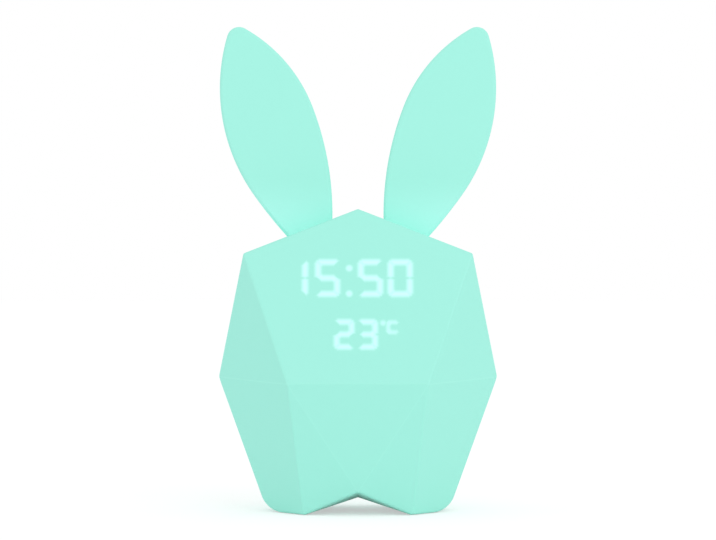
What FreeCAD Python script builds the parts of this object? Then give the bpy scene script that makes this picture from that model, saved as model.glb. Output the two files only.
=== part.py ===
import FreeCAD, Part
import Sketcher
import itertools
import math
import os
import re

from FreeCAD import Placement, Rotation, Vector

# Driving dimensions in millimetres and degrees, one row of the sheet each
SIZES = (
    ("waist_width", 115.8, "body, across the two side corners"),
    ("waist_level", 55.5, "height of the side corners"),
    ("shoulder_width", 93.8, "body, across the shoulders"),
    ("shoulder_level", 106.8, "height of the shoulders"),
    ("crown_level", 125.1, "height of the ridge between the ears"),
    ("belt_width", 57.2, "across the front corners of the belt"),
    ("belt_depth", 72.0, "front to back at the belt"),
    ("belt_level", 53.75, "height of the belt corners"),
    ("panel_lean", 16.4, "lean of the front and rear panels from upright"),
    ("notch_level", 9.7, "height of the notch at the front and back"),
    ("notch_depth", 59.0, "front to back between the notch tips"),
    ("tunnel_level", 5.4, "height of the tunnel under the middle"),
    ("foot_inner_width", 44.6, "between the inner corners of the feet"),
    ("foot_inner_depth", 51.0, "front to back between those corners"),
    ("foot_outer_width", 75.0, "across the outer corners of the feet"),
    ("foot_round", 9.5, "radius of the outer foot corners"),
    ("edge_round", 1.2, "radius on every facet edge"),
    ("sole_level", 0.2, "height of the plastic soles on their pads"),
    ("wall", 2.2, "wall of both shells"),
    ("seam_width", 0.3, "shadow groove where the shells meet"),
    ("seam_depth", 0.3, "depth of that groove"),
    ("lip_reach", 2.0, "how far the front lip enters the rear shell"),
    ("lip_wall", 1.0, "wall of that lip"),
    ("fit_gap", 0.1, "clearance between pieces that locate each other"),
    ("tip_gap", 0.3, "clearance past a screw's tip and round loose pieces"),
    ("screw_slack", 0.05, "clearance round a screw in its pilot"),
    ("ear_thick", 6.0, "front to back"),
    ("ear_round", 1.3, "radius round the ear's rim"),
    ("ear_x", 20.4, "middle of the ear's root"),
    ("ear_tip_round", 5.1, "radius of the tip"),
    ("ear_outer_root", 0.5, "outer edge at the hidden root, from the middle"),
    ("ear_inner_root", -8.4, "inner edge at the hidden root, from the middle"),
    ("ear_sink", 12.1, "depth of the hidden root under the roof"),
    ("ear_outer_x", 22.7, "outer edge where its curve tightens"),
    ("ear_outer_rise", 13.8, "height of that place over the roof"),
    ("ear_inner_x", -1.6, "inner edge where its curve tightens"),
    ("ear_inner_rise", 50.5, "height of that place over the roof"),
    ("ear_outer_low_arc", 191.7, "radius of the outer edge, low part"),
    ("ear_outer_top_arc", 77.0, "radius of the outer edge, top part"),
    ("ear_inner_low_arc", 124.2, "radius of the inner edge, low part"),
    ("ear_inner_top_arc", 63.6, "radius of the inner edge, top part"),
    ("stem_width", 12.0, "ear stem along the roof"),
    ("stem_thick", 3.0, "ear stem front to back"),
    ("anchor_width", 15.0, "foot of the ear stem, inside the roof"),
    ("anchor_thick", 7.0, "the same, front to back"),
    ("anchor_tall", 2.5, "height of that foot"),
    ("pad_x", 27.0, "middle of each foot pad"),
    ("pad_width", 6.5, "foot pad across"),
    ("pad_length", 22.0, "foot pad front to back"),
    ("pad_seat", 0.8, "depth of the pad's pocket in the sole"),
    ("case_screw_high_x", 42.0, "upper case screws"),
    ("case_screw_high_z", 79.0, "upper case screws"),
    ("case_screw_low_x", 29.0, "lower case screws"),
    ("case_screw_low_z", 14.0, "lower case screws"),
    ("case_screw_seat", 8.0, "screw heads bear this far behind the joint"),
    ("case_screw_bite", 9.0, "screw reach in front of the joint"),
    ("case_boss_radius", 4.2, "bosses of the case screws"),
    ("case_screw_radius", 1.5, "shank"),
    ("case_head_radius", 2.8, "head"),
    ("case_head_tall", 2.0, "head"),
    ("panel_level", 85.0, "height of the panel origin on both panels"),
    ("film_thick", 0.5, "milky film before the digit mask"),
    ("mask_thick", 5.0, "depth of the digit mask"),
    ("board_thick", 1.6, "circuit boards"),
    ("colon_x", -3.5, "colon of the time"),
    ("time_u", 12.35, "middle of the time up the panel"),
    ("colon_u", 11.0, "middle of the colon up the panel"),
    ("time_width", 10.4, "one digit of the time"),
    ("time_tall", 15.9, "one digit of the time"),
    ("hour_pitch", 13.0, "between the two hour digits"),
    ("minute_pitch", 12.1, "between the two minute digits"),
    ("pair_offset", 8.9, "from the colon to the nearer digits"),
    ("degree_u", -11.75, "middle of the temperature up the panel"),
    ("degree_width", 8.1, "one digit of the temperature"),
    ("degree_tall", 12.8, "one digit of the temperature"),
    ("degree_tens_x", -5.3, "first digit of the temperature"),
    ("degree_pitch", 9.6, "between its two digits"),
    ("unit_x", 14.4, "middle of the unit letter"),
    ("unit_u", -8.9, "middle of the unit letter up the panel"),
    ("unit_width", 5.0, "unit letter"),
    ("unit_tall", 6.0, "unit letter"),
    ("stroke", 2.0, "stroke of a segment"),
    ("segment_gap", 0.35, "mask wall at a segment's ends"),
    ("unit_stroke", 1.2, "stroke of the unit letter"),
    ("dot_size", 2.6, "dots of the colon"),
    ("dot_rise", 5.4, "dots of the colon over and under that middle"),
    ("degree_dot", 1.8, "degree sign"),
    ("degree_dot_x", 10.4, "degree sign"),
    ("degree_dot_u", -6.8, "degree sign up the panel"),
    ("mask_rim", 1.8, "mask around the digits"),
    ("mask_split_u", 2.0, "where the mask and board change width"),
    ("display_high_x", 35.5, "upper display screws"),
    ("display_low_x", 22.0, "lower display screws"),
    ("screw_radius", 1.0, "shank of the board screws"),
    ("head_radius", 1.9, "head of the board screws"),
    ("head_tall", 1.3, "head of the board screws"),
    ("post_radius", 2.7, "posts that carry the boards"),
    ("board_rim", 3.3, "board past a screw's middle"),
    ("led_size", 1.4, "light chips behind the digits"),
    ("led_tall", 0.7, "light chips behind the digits"),
    ("button_pitch", 18.0, "between rear buttons"),
    ("button_u", 12.0, "rear buttons up the panel"),
    ("button_radius", 4.5, "cap of a rear button"),
    ("button_proud", 1.2, "cap over the rear panel"),
    ("button_gap", 0.2, "clearance round a cap"),
    ("button_travel", 0.5, "stroke of a rear button"),
    ("flange_reach", 1.0, "cap flange past its hole"),
    ("flange_thick", 1.0, "cap flange"),
    ("plunger_radius", 1.7, "plunger of a switch"),
    ("plunger_free", 1.2, "plunger between switch and cap"),
    ("plunger_depth", 1.0, "plunger inside the switch"),
    ("plunger_gap", 0.06, "clearance round a plunger"),
    ("controller_size", 10.0, "controller chip"),
    ("controller_x", -6.0, "middle of the controller chip"),
    ("sound_chip_size", 6.0, "sound chip"),
    ("sound_chip_x", 9.0, "middle of the sound chip"),
    ("crystal_width", 3.0, "clock crystal"),
    ("crystal_length", 8.0, "clock crystal"),
    ("crystal_x", 16.5, "middle of the clock crystal"),
    ("chip_tall", 1.5, "chips over their board"),
    ("plug_width", 5.0, "lead connector"),
    ("plug_deep", 3.5, "lead connector over its board"),
    ("plug_tall", 4.0, "lead connector"),
    ("plug_pitch", 12.0, "between the connectors of the main board"),
    ("plug_rise", 3.0, "connectors over the board's lower edge"),
    ("sensor_radius", 1.3, "bead of the thermometer"),
    ("sensor_reach", 4.0, "bead towards the air slots"),
    ("switch_size", 6.0, "push switch housing"),
    ("switch_tall", 3.5, "push switch housing over the board"),
    ("main_low_u", -4.0, "lower edge of the main board"),
    ("main_high_u", 23.0, "upper edge of the main board"),
    ("main_screw_x", 31.5, "main board screws"),
    ("main_screw_low_u", 1.0, "lower pair"),
    ("main_screw_high_u", 20.5, "upper pair"),
    ("knob_length", 7.0, "alarm knob along its travel"),
    ("knob_tall", 3.4, "alarm knob across its travel"),
    ("knob_travel", 2.0, "stroke of the alarm knob"),
    ("knob_proud", 1.0, "alarm knob over the rear panel"),
    ("knob_u", 0.5, "alarm knob up the panel"),
    ("knob_gap", 0.25, "clearance round the alarm knob"),
    ("rib_width", 0.6, "grip ribs of the alarm knob"),
    ("rib_proud", 0.2, "grip ribs over the knob"),
    ("slide_length", 9.0, "slide switch housing"),
    ("slide_tall", 4.4, "slide switch housing"),
    ("slide_deep", 3.2, "slide switch housing over the board"),
    ("lever_length", 2.2, "lever of the slide switch"),
    ("lever_tall", 1.8, "lever of the slide switch"),
    ("lever_depth", 1.6, "lever inside the housing"),
    ("inlet_level", 70.4, "middle of the USB inlet"),
    ("pocket_width", 12.0, "finger pocket round the inlet"),
    ("pocket_tall", 7.4, "finger pocket round the inlet"),
    ("pocket_floor_y", 25.4, "floor of that pocket"),
    ("pocket_wall", 1.4, "wall of that pocket"),
    ("inlet_width", 8.9, "USB inlet housing"),
    ("inlet_tall", 3.2, "USB inlet housing"),
    ("inlet_deep", 7.4, "USB inlet housing"),
    ("inlet_skin", 0.3, "sheet of the inlet housing"),
    ("inlet_back", 1.0, "rear wall of the inlet housing"),
    ("tongue_margin", 1.1, "from the inlet's side to its tongue"),
    ("tongue_thick", 0.7, "tongue of the inlet"),
    ("tongue_short", 0.8, "from the inlet's mouth to the tongue"),
    ("power_width", 20.0, "charging board"),
    ("rail_bite", 0.9, "board edge inside its rails"),
    ("rail_thick", 2.4, "rail beside the board"),
    ("rail_start", 3.0, "front end of the rails"),
    ("power_plug_x", 6.0, "connectors of the charging board"),
    ("charger_size", 4.5, "charging chip"),
    ("frame_width", 70.0, "inner frame"),
    ("frame_low_z", 25.0, "lower edge of the inner frame"),
    ("frame_high_z", 75.0, "upper edge of the inner frame"),
    ("frame_thick", 2.0, "inner frame plate"),
    ("frame_screw_x", 30.0, "inner frame screws"),
    ("frame_screw_low_z", 30.0, "lower pair"),
    ("frame_screw_high_z", 64.0, "upper pair"),
    ("frame_boss_radius", 2.8, "bosses under the inner frame"),
    ("cell_width", 50.0, "battery cell"),
    ("cell_tall", 34.0, "battery cell"),
    ("cell_thick", 6.0, "battery cell"),
    ("cell_level", 47.0, "middle of the battery cell"),
    ("tape_thick", 0.5, "foam tape behind the cell"),
    ("tray_rib", 1.2, "rim that frames the cell"),
    ("frame_screw_bite", 5.5, "inner frame screws in the rear shell"),
    ("lamp_level", 46.0, "middle of the night light"),
    ("lamp_radius", 15.0, "night light board"),
    ("dome_radius", 19.0, "opal dome over the night light"),
    ("dome_tall", 8.0, "opal dome, front to back"),
    ("dome_wall", 1.2, "opal dome"),
    ("dome_round", 4.0, "edge of the opal dome"),
    ("ring_wall", 1.2, "ring that holds the dome"),
    ("ring_tall", 2.0, "ring that holds the dome"),
    ("lamp_led_size", 3.0, "night light chips"),
    ("lamp_led_tall", 0.8, "night light chips"),
    ("lamp_stake_x", 12.0, "stakes that hold the night light board"),
    ("stake_proud", 0.6, "stakes over the night light board"),
    ("lamp_led_circle", 9.5, "radius of the circle they stand on"),
    ("speaker_level", 38.0, "middle of the speaker"),
    ("speaker_radius", 13.5, "speaker rim"),
    ("speaker_rim", 1.0, "thickness of that rim"),
    ("speaker_bowl", 3.6, "depth of the basket behind the rim"),
    ("basket_skin", 0.8, "sheet of the basket"),
    ("speaker_edge", 2.5, "rim inside the speaker's outer radius"),
    ("paper_thick", 0.4, "speaker cone"),
    ("paper_eye", 4.0, "radius of the cone's dust cap"),
    ("tab_width", 6.0, "solder tab of the speaker"),
    ("tab_short", 1.0, "from the tab's end to the speaker's outer radius"),
    ("magnet_radius", 8.0, "speaker magnet"),
    ("magnet_tall", 4.0, "speaker magnet"),
    ("gasket_thick", 0.8, "foam ring before the speaker"),
    ("clamp_thick", 1.2, "ring that clamps the speaker"),
    ("clamp_screw_x", 17.6, "speaker screws"),
    ("clamp_screw_u", 4.0, "speaker screws up the lower panel"),
    ("grille_pitch", 3.2, "between rings of sound holes"),
    ("grille_radius", 0.85, "one sound hole"),
    ("vent_x", 26.0, "air slots for the thermometer"),
    ("vent_length", 5.0, "one air slot"),
    ("vent_tall", 1.0, "one air slot"),
    ("vent_pitch", 2.0, "between air slots"),
    ("lead_radius", 0.8, "every inner lead"),
    ("lead_run", 3.0, "straight run of a lead at each end"),
    ("lead_bow", 1.5, "offset of a lead's bend, and its clearance over an edge"),
    ("lead_reach", 0.45, "share of a run that each of its bends may take"),
    ("cell_lead_x", -17.0, "where the cell's lead starts"),
    ("display_lead_x", -20.0, "where the display's lead starts"),
)

doc = FreeCAD.newDocument("kids_alarm_clock")
sizes = doc.addObject("Spreadsheet::Sheet", "sizes")
for row, (alias, number, note) in enumerate(SIZES, start=1):
    sizes.set(f"A{row}", alias)
    sizes.set(f"B{row}", str(number))
    sizes.set(f"C{row}", note)
    sizes.setAlias(f"B{row}", alias)
doc.recompute()

ALIASES = re.compile(r"\b(" + "|".join(alias for alias, _, _ in SIZES) + r")\b")
SUBPARTS = []
PILOT = "screw_radius + screw_slack"


def linked(rule):
    """Turns a rule written with size names into one that reads the sheet."""
    return ALIASES.sub(r"sizes.\1", rule)


def about(middle, length):
    """The rules for both ends of a length laid evenly about its middle."""
    return (f"{middle} - {length} / 2", f"{middle} + {length} / 2")


def shift(item, x="0", y="0", z="0"):
    """Binds an object's place to rules for its three coordinates."""
    for axis, rule in zip("xyz", (x, y, z)):
        item.setExpression(f"Placement.Base.{axis}", linked(rule))
    return item


def block(name, x, y, z):
    """A box given by the rules for its two ends along each axis."""
    item = doc.addObject("Part::Box", name)
    for side, (one, other) in zip(("Length", "Width", "Height"), (x, y, z)):
        item.setExpression(side, linked(f"abs(({other}) - ({one}))"))
    return shift(item, *(f"min({one}; {other})" for one, other in (x, y, z)))


def rod(name, radius, x="0", y="0", z="0"):
    """A round bar along the one axis that is given as a pair of ends."""
    item = doc.addObject("Part::Cylinder", name)
    item.setExpression("Radius", linked(radius))
    place = {"x": x, "y": y, "z": z}
    along = next(axis for axis, rule in place.items() if isinstance(rule, tuple))
    turns = {
        "x": Rotation(Vector(0, 1, 0), 90),
        "y": Rotation(Vector(1, 0, 0), -90),
        "z": Rotation(),
    }
    item.Placement = Placement(Vector(), turns[along])
    one, other = place[along]
    item.setExpression("Height", linked(f"abs(({other}) - ({one}))"))
    place[along] = f"min({one}; {other})"
    return shift(item, **place)


def taper(name, low_radius, high_radius, x="0", y=("0", "1"), z="0"):
    """A cone frustum along y, from its low end to its high end."""
    item = doc.addObject("Part::Cone", name)
    item.Placement = Placement(Vector(), Rotation(Vector(1, 0, 0), -90))
    item.setExpression("Radius1", linked(low_radius))
    item.setExpression("Radius2", linked(high_radius))
    item.setExpression("Height", linked(f"({y[1]}) - ({y[0]})"))
    return shift(item, x, y[0], z)


def fuse(name, items):
    item = doc.addObject("Part::MultiFuse", name)
    item.Shapes = items
    item.Refine = True
    return item


def group(name, items):
    """Separate solids that count as one node, such as a set of screws."""
    item = doc.addObject("Part::Compound", name)
    item.Links = items
    return item


def lone(name, item):
    """One primitive as a node, so that it keeps its place inside a frame."""
    return group(name, [item])


def cut(name, base, tools):
    item = doc.addObject("Part::Cut", name)
    item.Base = base
    item.Tool = tools[0] if len(tools) == 1 else fuse(f"{name}_cutters", tools)
    item.Refine = True
    return item


def common(name, first, second):
    item = doc.addObject("Part::Common", name)
    item.Base = first
    item.Tool = second
    return item


def subpart(item):
    """Lists an object as a piece of the clock; its label names its file."""
    SUBPARTS.append(item)
    return item


# Panel frames: x across, y along the outward or inward normal, z up the panel
PANEL_Y = "(belt_depth / 2 - (panel_level - belt_level) * tan(panel_lean * 1 deg))"
LOWER_LEAN = "atan((belt_depth - notch_depth) / 2 / (belt_level - notch_level))"
LOWER_Y = f"(belt_depth / 2 - (belt_level - speaker_level) * tan({LOWER_LEAN}))"


def tilt(item, angle, y, z):
    item.Placement = Placement(Vector(), Rotation(Vector(1, 0, 0), 5))
    item.setExpression("Placement.Rotation.Angle", linked(angle))
    return shift(item, "0", y, z)


def on_front(item):
    """Stands an object on the front panel; its y points inward."""
    return tilt(item, "-panel_lean * 1 deg", f"-{PANEL_Y}", "panel_level")


def on_rear(item):
    """Stands an object on the rear panel; its y points outward."""
    return tilt(item, "panel_lean * 1 deg", PANEL_Y, "panel_level")


def on_lower_rear(item):
    """Stands an object on the rear triangle; its y points outward."""
    return tilt(item, f"-{LOWER_LEAN}", LOWER_Y, "speaker_level")


# The faceted body, worked out from its corners
def half_space(a, b, c, inside):
    """The plane through three corners, its normal pointing out."""
    normal = (b - a).cross(c - a).normalize()
    return (a, -normal if normal.dot(inside - a) > 0 else normal)


def polyhedron(planes, growth):
    """The convex solid inside planes that each move out by a growth."""
    moved = [(point + normal * growth, normal) for point, normal in planes]
    corners = []
    for (a, na), (b, nb), (c, nc) in itertools.combinations(moved, 3):
        spread = na.dot(nb.cross(nc))
        if abs(spread) < 1e-7:
            continue
        corner = nb.cross(nc) * a.dot(na) + nc.cross(na) * b.dot(nb) + na.cross(nb) * c.dot(nc)
        corner = corner * (1 / spread)
        kept = all((corner - point).dot(normal) < 1e-5 for point, normal in moved)
        if kept and all((corner - other).Length > 1e-4 for other in corners):
            corners.append(corner)
    faces = []
    for point, normal in moved:
        ring = [corner for corner in corners if abs((corner - point).dot(normal)) < 1e-4]
        if len(ring) < 3:
            continue
        centre = sum(ring, Vector()) * (1 / len(ring))
        east = (ring[0] - centre).normalize()
        north = normal.cross(east)
        ring.sort(key=lambda v: math.atan2((v - centre).dot(north), (v - centre).dot(east)))
        faces.append(Part.Face(Part.makePolygon(ring + ring[:1])))
    solid = Part.Solid(Part.Shell(faces))
    if solid.Volume < 0:
        solid.reverse()
    return solid


def flip(point, x=1, y=1):
    return Vector(x * point.x, y * point.y, point.z)


FAR = 200.0
LEAN = math.tan(math.radians(sizes.panel_lean))


def panel_y(level):
    return sizes.belt_depth / 2 - (level - sizes.belt_level) * LEAN


CROWN = Vector(0, -panel_y(sizes.crown_level), sizes.crown_level)
SHOULDER = Vector(sizes.shoulder_width / 2, -panel_y(sizes.shoulder_level), sizes.shoulder_level)
WAIST = Vector(sizes.waist_width / 2, 0, sizes.waist_level)
BELT = Vector(sizes.belt_width / 2, -sizes.belt_depth / 2, sizes.belt_level)
NOTCH = Vector(0, -sizes.notch_depth / 2, sizes.notch_level)
TUNNEL = Vector(0, 0, sizes.tunnel_level)
FOOT_IN = Vector(sizes.foot_inner_width / 2, -sizes.foot_inner_depth / 2, 0)
FOOT_OUT = Vector(sizes.foot_outer_width / 2, 0, 0)
ACROSS = Vector(0, 10, 0)
HEART = Vector(0, 0, sizes.waist_level)


def body_planes():
    planes = [(Vector(0, 0, sizes.sole_level), Vector(0, 0, -1))]
    for side in (1, -1):
        shoulder = flip(SHOULDER, x=side)
        waist = flip(WAIST, x=side)
        foot = flip(FOOT_OUT, x=side)
        planes.append(half_space(CROWN, shoulder, shoulder + ACROSS, HEART))
        planes.append(half_space(shoulder, shoulder + ACROSS, waist, HEART))
        planes.append(half_space(waist, waist + ACROSS, foot, HEART))
        for end in (1, -1):
            belt = flip(BELT, side, end)
            foot_in = flip(FOOT_IN, side, end)
            planes.append(half_space(flip(SHOULDER, side, end), waist, belt, HEART))
            planes.append(half_space(waist, belt, foot_in, HEART))
            planes.append(half_space(belt, flip(NOTCH, y=end), foot_in, HEART))
    for end in (1, -1):
        belt = flip(BELT, y=end)
        other_belt = flip(BELT, -1, end)
        planes.append(half_space(flip(CROWN, y=end), belt, other_belt, HEART))
        planes.append(half_space(belt, other_belt, flip(NOTCH, y=end), HEART))
    return planes


def notch_solid(growth):
    """The space under the body: a straight tunnel that flares at both ends."""
    under = Vector(0, 0, -FAR)
    floor = (under, Vector(0, 0, -1))
    inner = [flip(FOOT_IN, x=side) for side in (1, -1)]
    roofs = [half_space(TUNNEL, foot, foot + ACROSS, under) for foot in inner]
    ends = [(Vector(0, FAR, 0), Vector(0, 1, 0)), (Vector(0, -FAR, 0), Vector(0, -1, 0))]
    tunnel = polyhedron([(p + n * growth, n) for p, n in roofs] + ends + [floor], 0)
    flares = []
    for end in (1, -1):
        notch = flip(NOTCH, y=end)
        roofs = [half_space(TUNNEL, notch, flip(foot, y=end), under) for foot in inner]
        ends = [(Vector(0, -end * FAR, 0), Vector(0, -end, 0)), (Vector(), Vector(0, end, 0))]
        flares.append(polyhedron([(p + n * growth, n) for p, n in roofs] + ends + [floor], 0))
    return tunnel.fuse(flares)


def foot_outline(inset):
    """A deep slab whose lower corners are round, as the feet are from the front."""
    rise = (WAIST - FOOT_OUT).normalize()
    outward = Vector(rise.z, 0, -rise.x)
    start = FOOT_OUT - outward * inset
    floor = sizes.sole_level + inset
    corner = start + rise * ((floor - start.z) / rise.z)
    radius = sizes.foot_round - inset
    reach = radius / math.tan((math.pi - math.atan2(rise.z, rise.x)) / 2)
    low = corner - Vector(reach, 0, 0)
    high = corner + rise * reach
    centre = low + Vector(0, 0, radius)
    middle = centre + (corner - centre).normalize() * radius
    top = high + rise * FAR
    edges = [
        Part.LineSegment(flip(low, x=-1), low).toShape(),
        Part.Arc(low, middle, high).toShape(),
        Part.LineSegment(high, top).toShape(),
        Part.LineSegment(top, flip(top, x=-1)).toShape(),
        Part.LineSegment(flip(top, x=-1), flip(high, x=-1)).toShape(),
        Part.Arc(flip(high, x=-1), flip(middle, x=-1), flip(low, x=-1)).toShape(),
    ]
    face = Part.Face(Part.Wire(edges))
    face.translate(Vector(0, -FAR, 0))
    return face.extrude(Vector(0, 2 * FAR, 0))


def body_form(name, inset, rounding):
    """The body's form moved inward by an inset, its edges rounded if asked."""
    solid = polyhedron(body_planes(), -inset).cut(notch_solid(inset)).common(foot_outline(inset))
    solid = solid.removeSplitter().Solids[0]
    if rounding > 0:
        solid = solid.makeFillet(rounding, solid.Edges)
    item = doc.addObject("Part::Feature", name)
    item.Shape = solid
    return item


outer_form = body_form("outer_form", 0, sizes.edge_round)
cavity_form = body_form("cavity_form", sizes.wall, 0)
lip_form = body_form("lip_form", sizes.wall - sizes.lip_wall, 0)
lip_seat_form = body_form("lip_seat_form", sizes.wall - sizes.lip_wall - sizes.fit_gap, 0)
seam_form = body_form("seam_form", sizes.seam_depth, 0)


# Roof frame of one ear: z out of the roof, x down the slope
ROOF_SLOPE = "atan((crown_level - shoulder_level) / (shoulder_width / 2))"
ROOF_Z = "(crown_level - ear_x * tan(" + ROOF_SLOPE + "))"


def on_roof(item, side):
    """Stands an object on one slope of the roof, under an ear."""
    item.Placement = Placement(Vector(), Rotation(Vector(0, 1, 0), 5))
    item.setExpression("Placement.Rotation.Angle", linked(f"{side} * {ROOF_SLOPE}"))
    return shift(item, f"{side} * ear_x", "0", ROOF_Z)


# Screws and the bosses that take them
CASE_SCREWS = [
    (f"{side} * {x}", z)
    for x, z in (("case_screw_high_x", "case_screw_high_z"), ("case_screw_low_x", "case_screw_low_z"))
    for side in (-1, 1)
]
FRAME_SCREWS = [
    (f"{side} * frame_screw_x", z)
    for z in ("frame_screw_low_z", "frame_screw_high_z")
    for side in (-1, 1)
]
DISPLAY_SCREWS = [
    (f"{side} * {x}", z)
    for x, z in (("display_high_x", "time_u"), ("display_low_x", "degree_u"))
    for side in (-1, 1)
]
MAIN_SCREWS = [
    (f"{side} * main_screw_x", z)
    for z in ("main_screw_low_u", "main_screw_high_u")
    for side in (-1, 1)
]
CLAMP_SCREWS = [(f"{side} * clamp_screw_x", "clamp_screw_u") for side in (-1, 1)]


def rods(name, radius, places, y):
    return [rod(f"{name}_{n}", radius, x=x, y=y, z=z) for n, (x, z) in enumerate(places, start=1)]


def screws(name, places, tip, seat, top, shank, head):
    """Screws along y: a shank from tip to seat and a head from seat to top."""
    items = []
    for n, (x, z) in enumerate(places, start=1):
        body = rod(f"{name}_shank_{n}", shank, x=x, y=(tip, seat), z=z)
        cap = rod(f"{name}_head_{n}", head, x=x, y=(seat, top), z=z)
        items.append(fuse(f"{name}_{n}", [body, cap]))
    return subpart(group(name, items))


# Depths behind the outer face of the front panel, inward
FILM_Y = ("wall + fit_gap", "wall + fit_gap + film_thick")
MASK_Y = (FILM_Y[1], f"{FILM_Y[1]} + mask_thick")
DISPLAY_Y = (MASK_Y[1], f"{MASK_Y[1]} + board_thick")

# Depths behind the outer face of the rear panel, so below zero
FLANGE_Y = ("-(wall + fit_gap + flange_thick)", "-(wall + fit_gap)")
SWITCH_TOP_Y = f"({FLANGE_Y[0]} - plunger_free)"
MAIN_FACE_Y = f"({SWITCH_TOP_Y} - switch_tall)"
MAIN_BACK_Y = f"({MAIN_FACE_Y} - board_thick)"

# Depths behind the outer face of the rear triangle
GASKET_Y = ("-(wall + gasket_thick)", "-wall")
RIM_Y = (f"({GASKET_Y[0]} - speaker_rim)", GASKET_Y[0])
CLAMP_Y = (f"({RIM_Y[0]} - clamp_thick)", RIM_Y[0])
TAB_Y = (f"{RIM_Y[0]} - speaker_bowl + basket_skin", f"{RIM_Y[0]} - speaker_bowl + 2 * basket_skin")

# Heights and depths of the charging board behind the inlet
INLET_Z = ("inlet_level - inlet_tall / 2", "inlet_level + inlet_tall / 2")
POWER_Z = (f"({INLET_Z[0]} - board_thick)", f"({INLET_Z[0]})")
POWER_Y = ("3 * fit_gap", "(pocket_floor_y - pocket_wall - fit_gap)")
POWER_PLUG_Y = "power_plug_x"
POWER_PLUG_Z = f"({POWER_Z[1]} + plug_tall / 2)"
CHARGER_Y = "(power_plug_x + plug_deep + charger_size)"

# Connectors of the main board, in steps of their pitch
PLUG_U = "(main_low_u + plug_rise)"
PLUG_STEPS = {"display": -2, "speaker": -1, "light": 0, "power": 1}

BUTTONS = ("set", "down", "up", "light")
BUTTON_X = {name: f"{n - 1.5} * button_pitch" for n, name in enumerate(BUTTONS)}


# Wall, lip, bosses and openings of the two shells
def slab(name, low, high):
    """Everything between two planes across the depth."""
    return block(name, ("-waist_width", "waist_width"), (low, high), ("-1", "2 * crown_level"))


def shell_half(name, low, high):
    """The hollow body's wall between two planes across the depth."""
    hollow = cut(f"{name}_wall", outer_form, [cavity_form])
    return common(f"{name}_half", hollow, slab(f"{name}_side", low, high))


def seam_groove(name):
    """The ring round the form where both shells meet, a shadow groove."""
    band = slab(f"{name}_band", "-seam_width / 2", "seam_width / 2")
    return common(name, cut(f"{name}_ring", outer_form, [seam_form]), band)


def held_inside(name, items):
    """Bosses that start beyond the wall, trimmed to the body's form."""
    return common(f"{name}_in_form", fuse(name, items), outer_form)


def ear_slots(name):
    """Slots in the roof for both ear stems."""
    slots = []
    for side in (-1, 1):
        label = f"{name}_{'left' if side < 0 else 'right'}"
        slot = block(
            f"{label}_box",
            ("-(stem_width / 2 + fit_gap)", "stem_width / 2 + fit_gap"),
            ("-(stem_thick / 2 + fit_gap)", "stem_thick / 2 + fit_gap"),
            ("-3 * wall", "2 * wall"),
        )
        slots.append(on_roof(lone(label, slot), side))
    return slots


def pad_pockets(name):
    sides = enumerate((-1, 1), start=1)
    return [pad_shape(f"{name}_{n}", side, "fit_gap", "-1") for n, side in sides]


def pad_shape(name, side, gap, low):
    """An oval strip under one foot."""
    top = f"sole_level + pad_seat + {gap}"
    radius = f"pad_width / 2 + {gap}"
    reach = "(pad_length - pad_width) / 2"
    centre = f"{side} * pad_x"
    across = (f"{centre} - ({radius})", f"{centre} + {radius}")
    middle = block(f"{name}_mid", across, (f"-{reach}", reach), (low, top))
    ends = [
        rod(f"{name}_{label}", radius, x=centre, y=place, z=(low, top))
        for label, place in (("front", f"-{reach}"), ("rear", reach))
    ]
    return fuse(name, [middle] + ends)


def front_posts():
    posts = rods("display_post", "post_radius", DISPLAY_SCREWS, ("wall / 2", DISPLAY_Y[0]))
    return on_front(fuse("display_posts", posts))


def display_pilots():
    deep = ("wall + fit_gap", f"{DISPLAY_Y[0]} + 1")
    return on_front(fuse("display_pilots", rods("display_pilot", PILOT, DISPLAY_SCREWS, deep)))


def make_front_shell():
    half = shell_half("front", "-belt_depth", "0")
    ring = cut("lip_ring", lip_form, [cavity_form])
    lip = common("lip", ring, slab("lip_band", "-2 * wall", "lip_reach"))
    bosses = rods("front_boss", "case_boss_radius", CASE_SCREWS, ("-belt_depth", "0"))
    lugs = held_inside("front_bosses", bosses)
    deep = ("-(case_screw_bite + tip_gap)", "1")
    cutters = rods("case_pilot", "case_screw_radius + screw_slack", CASE_SCREWS, deep)
    solid = fuse("front_solid", [half, lip, lugs, front_posts()])
    cutters += [display_pilots(), seam_groove("front_seam")]
    cutters += ear_slots("front_slot") + pad_pockets("front_pocket")
    return subpart(cut("front_shell", solid, cutters))


def grille_holes():
    """Sound holes in rings of one, six and twelve."""
    holes = [rod("grille_0", "grille_radius", y=("-2 * wall", "wall"))]
    for ring in (1, 2):
        for n in range(6 * ring):
            angle = n * 60 / ring
            x = f"{ring} * grille_pitch * cos({angle} * 1 deg)"
            z = f"{ring} * grille_pitch * sin({angle} * 1 deg)"
            holes.append(rod(f"grille_{ring}_{n}", "grille_radius", x=x, y=("-2 * wall", "wall"), z=z))
    return on_lower_rear(fuse("grille", holes))


def rear_panel_holes():
    through = ("-2 * wall", "wall")
    places = [(BUTTON_X[name], "button_u") for name in BUTTONS]
    holes = rods("button_hole", "button_radius + button_gap", places, through)
    half = "(knob_length / 2 + knob_travel / 2 + knob_gap)"
    edge = "(knob_tall / 2 + knob_gap)"
    tall = (f"knob_u - {edge}", f"knob_u + {edge}")
    holes.append(block("knob_slot", (f"-{half}", half), through, tall))
    for n in (-1, 0, 1):
        level = f"({PLUG_U} + {n} * vent_pitch)"
        vent = block(f"vent_{n + 2}", about("vent_x", "vent_length"), through, about(level, "vent_tall"))
        holes.append(vent)
    return on_rear(fuse("rear_panel_holes", holes))


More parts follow.
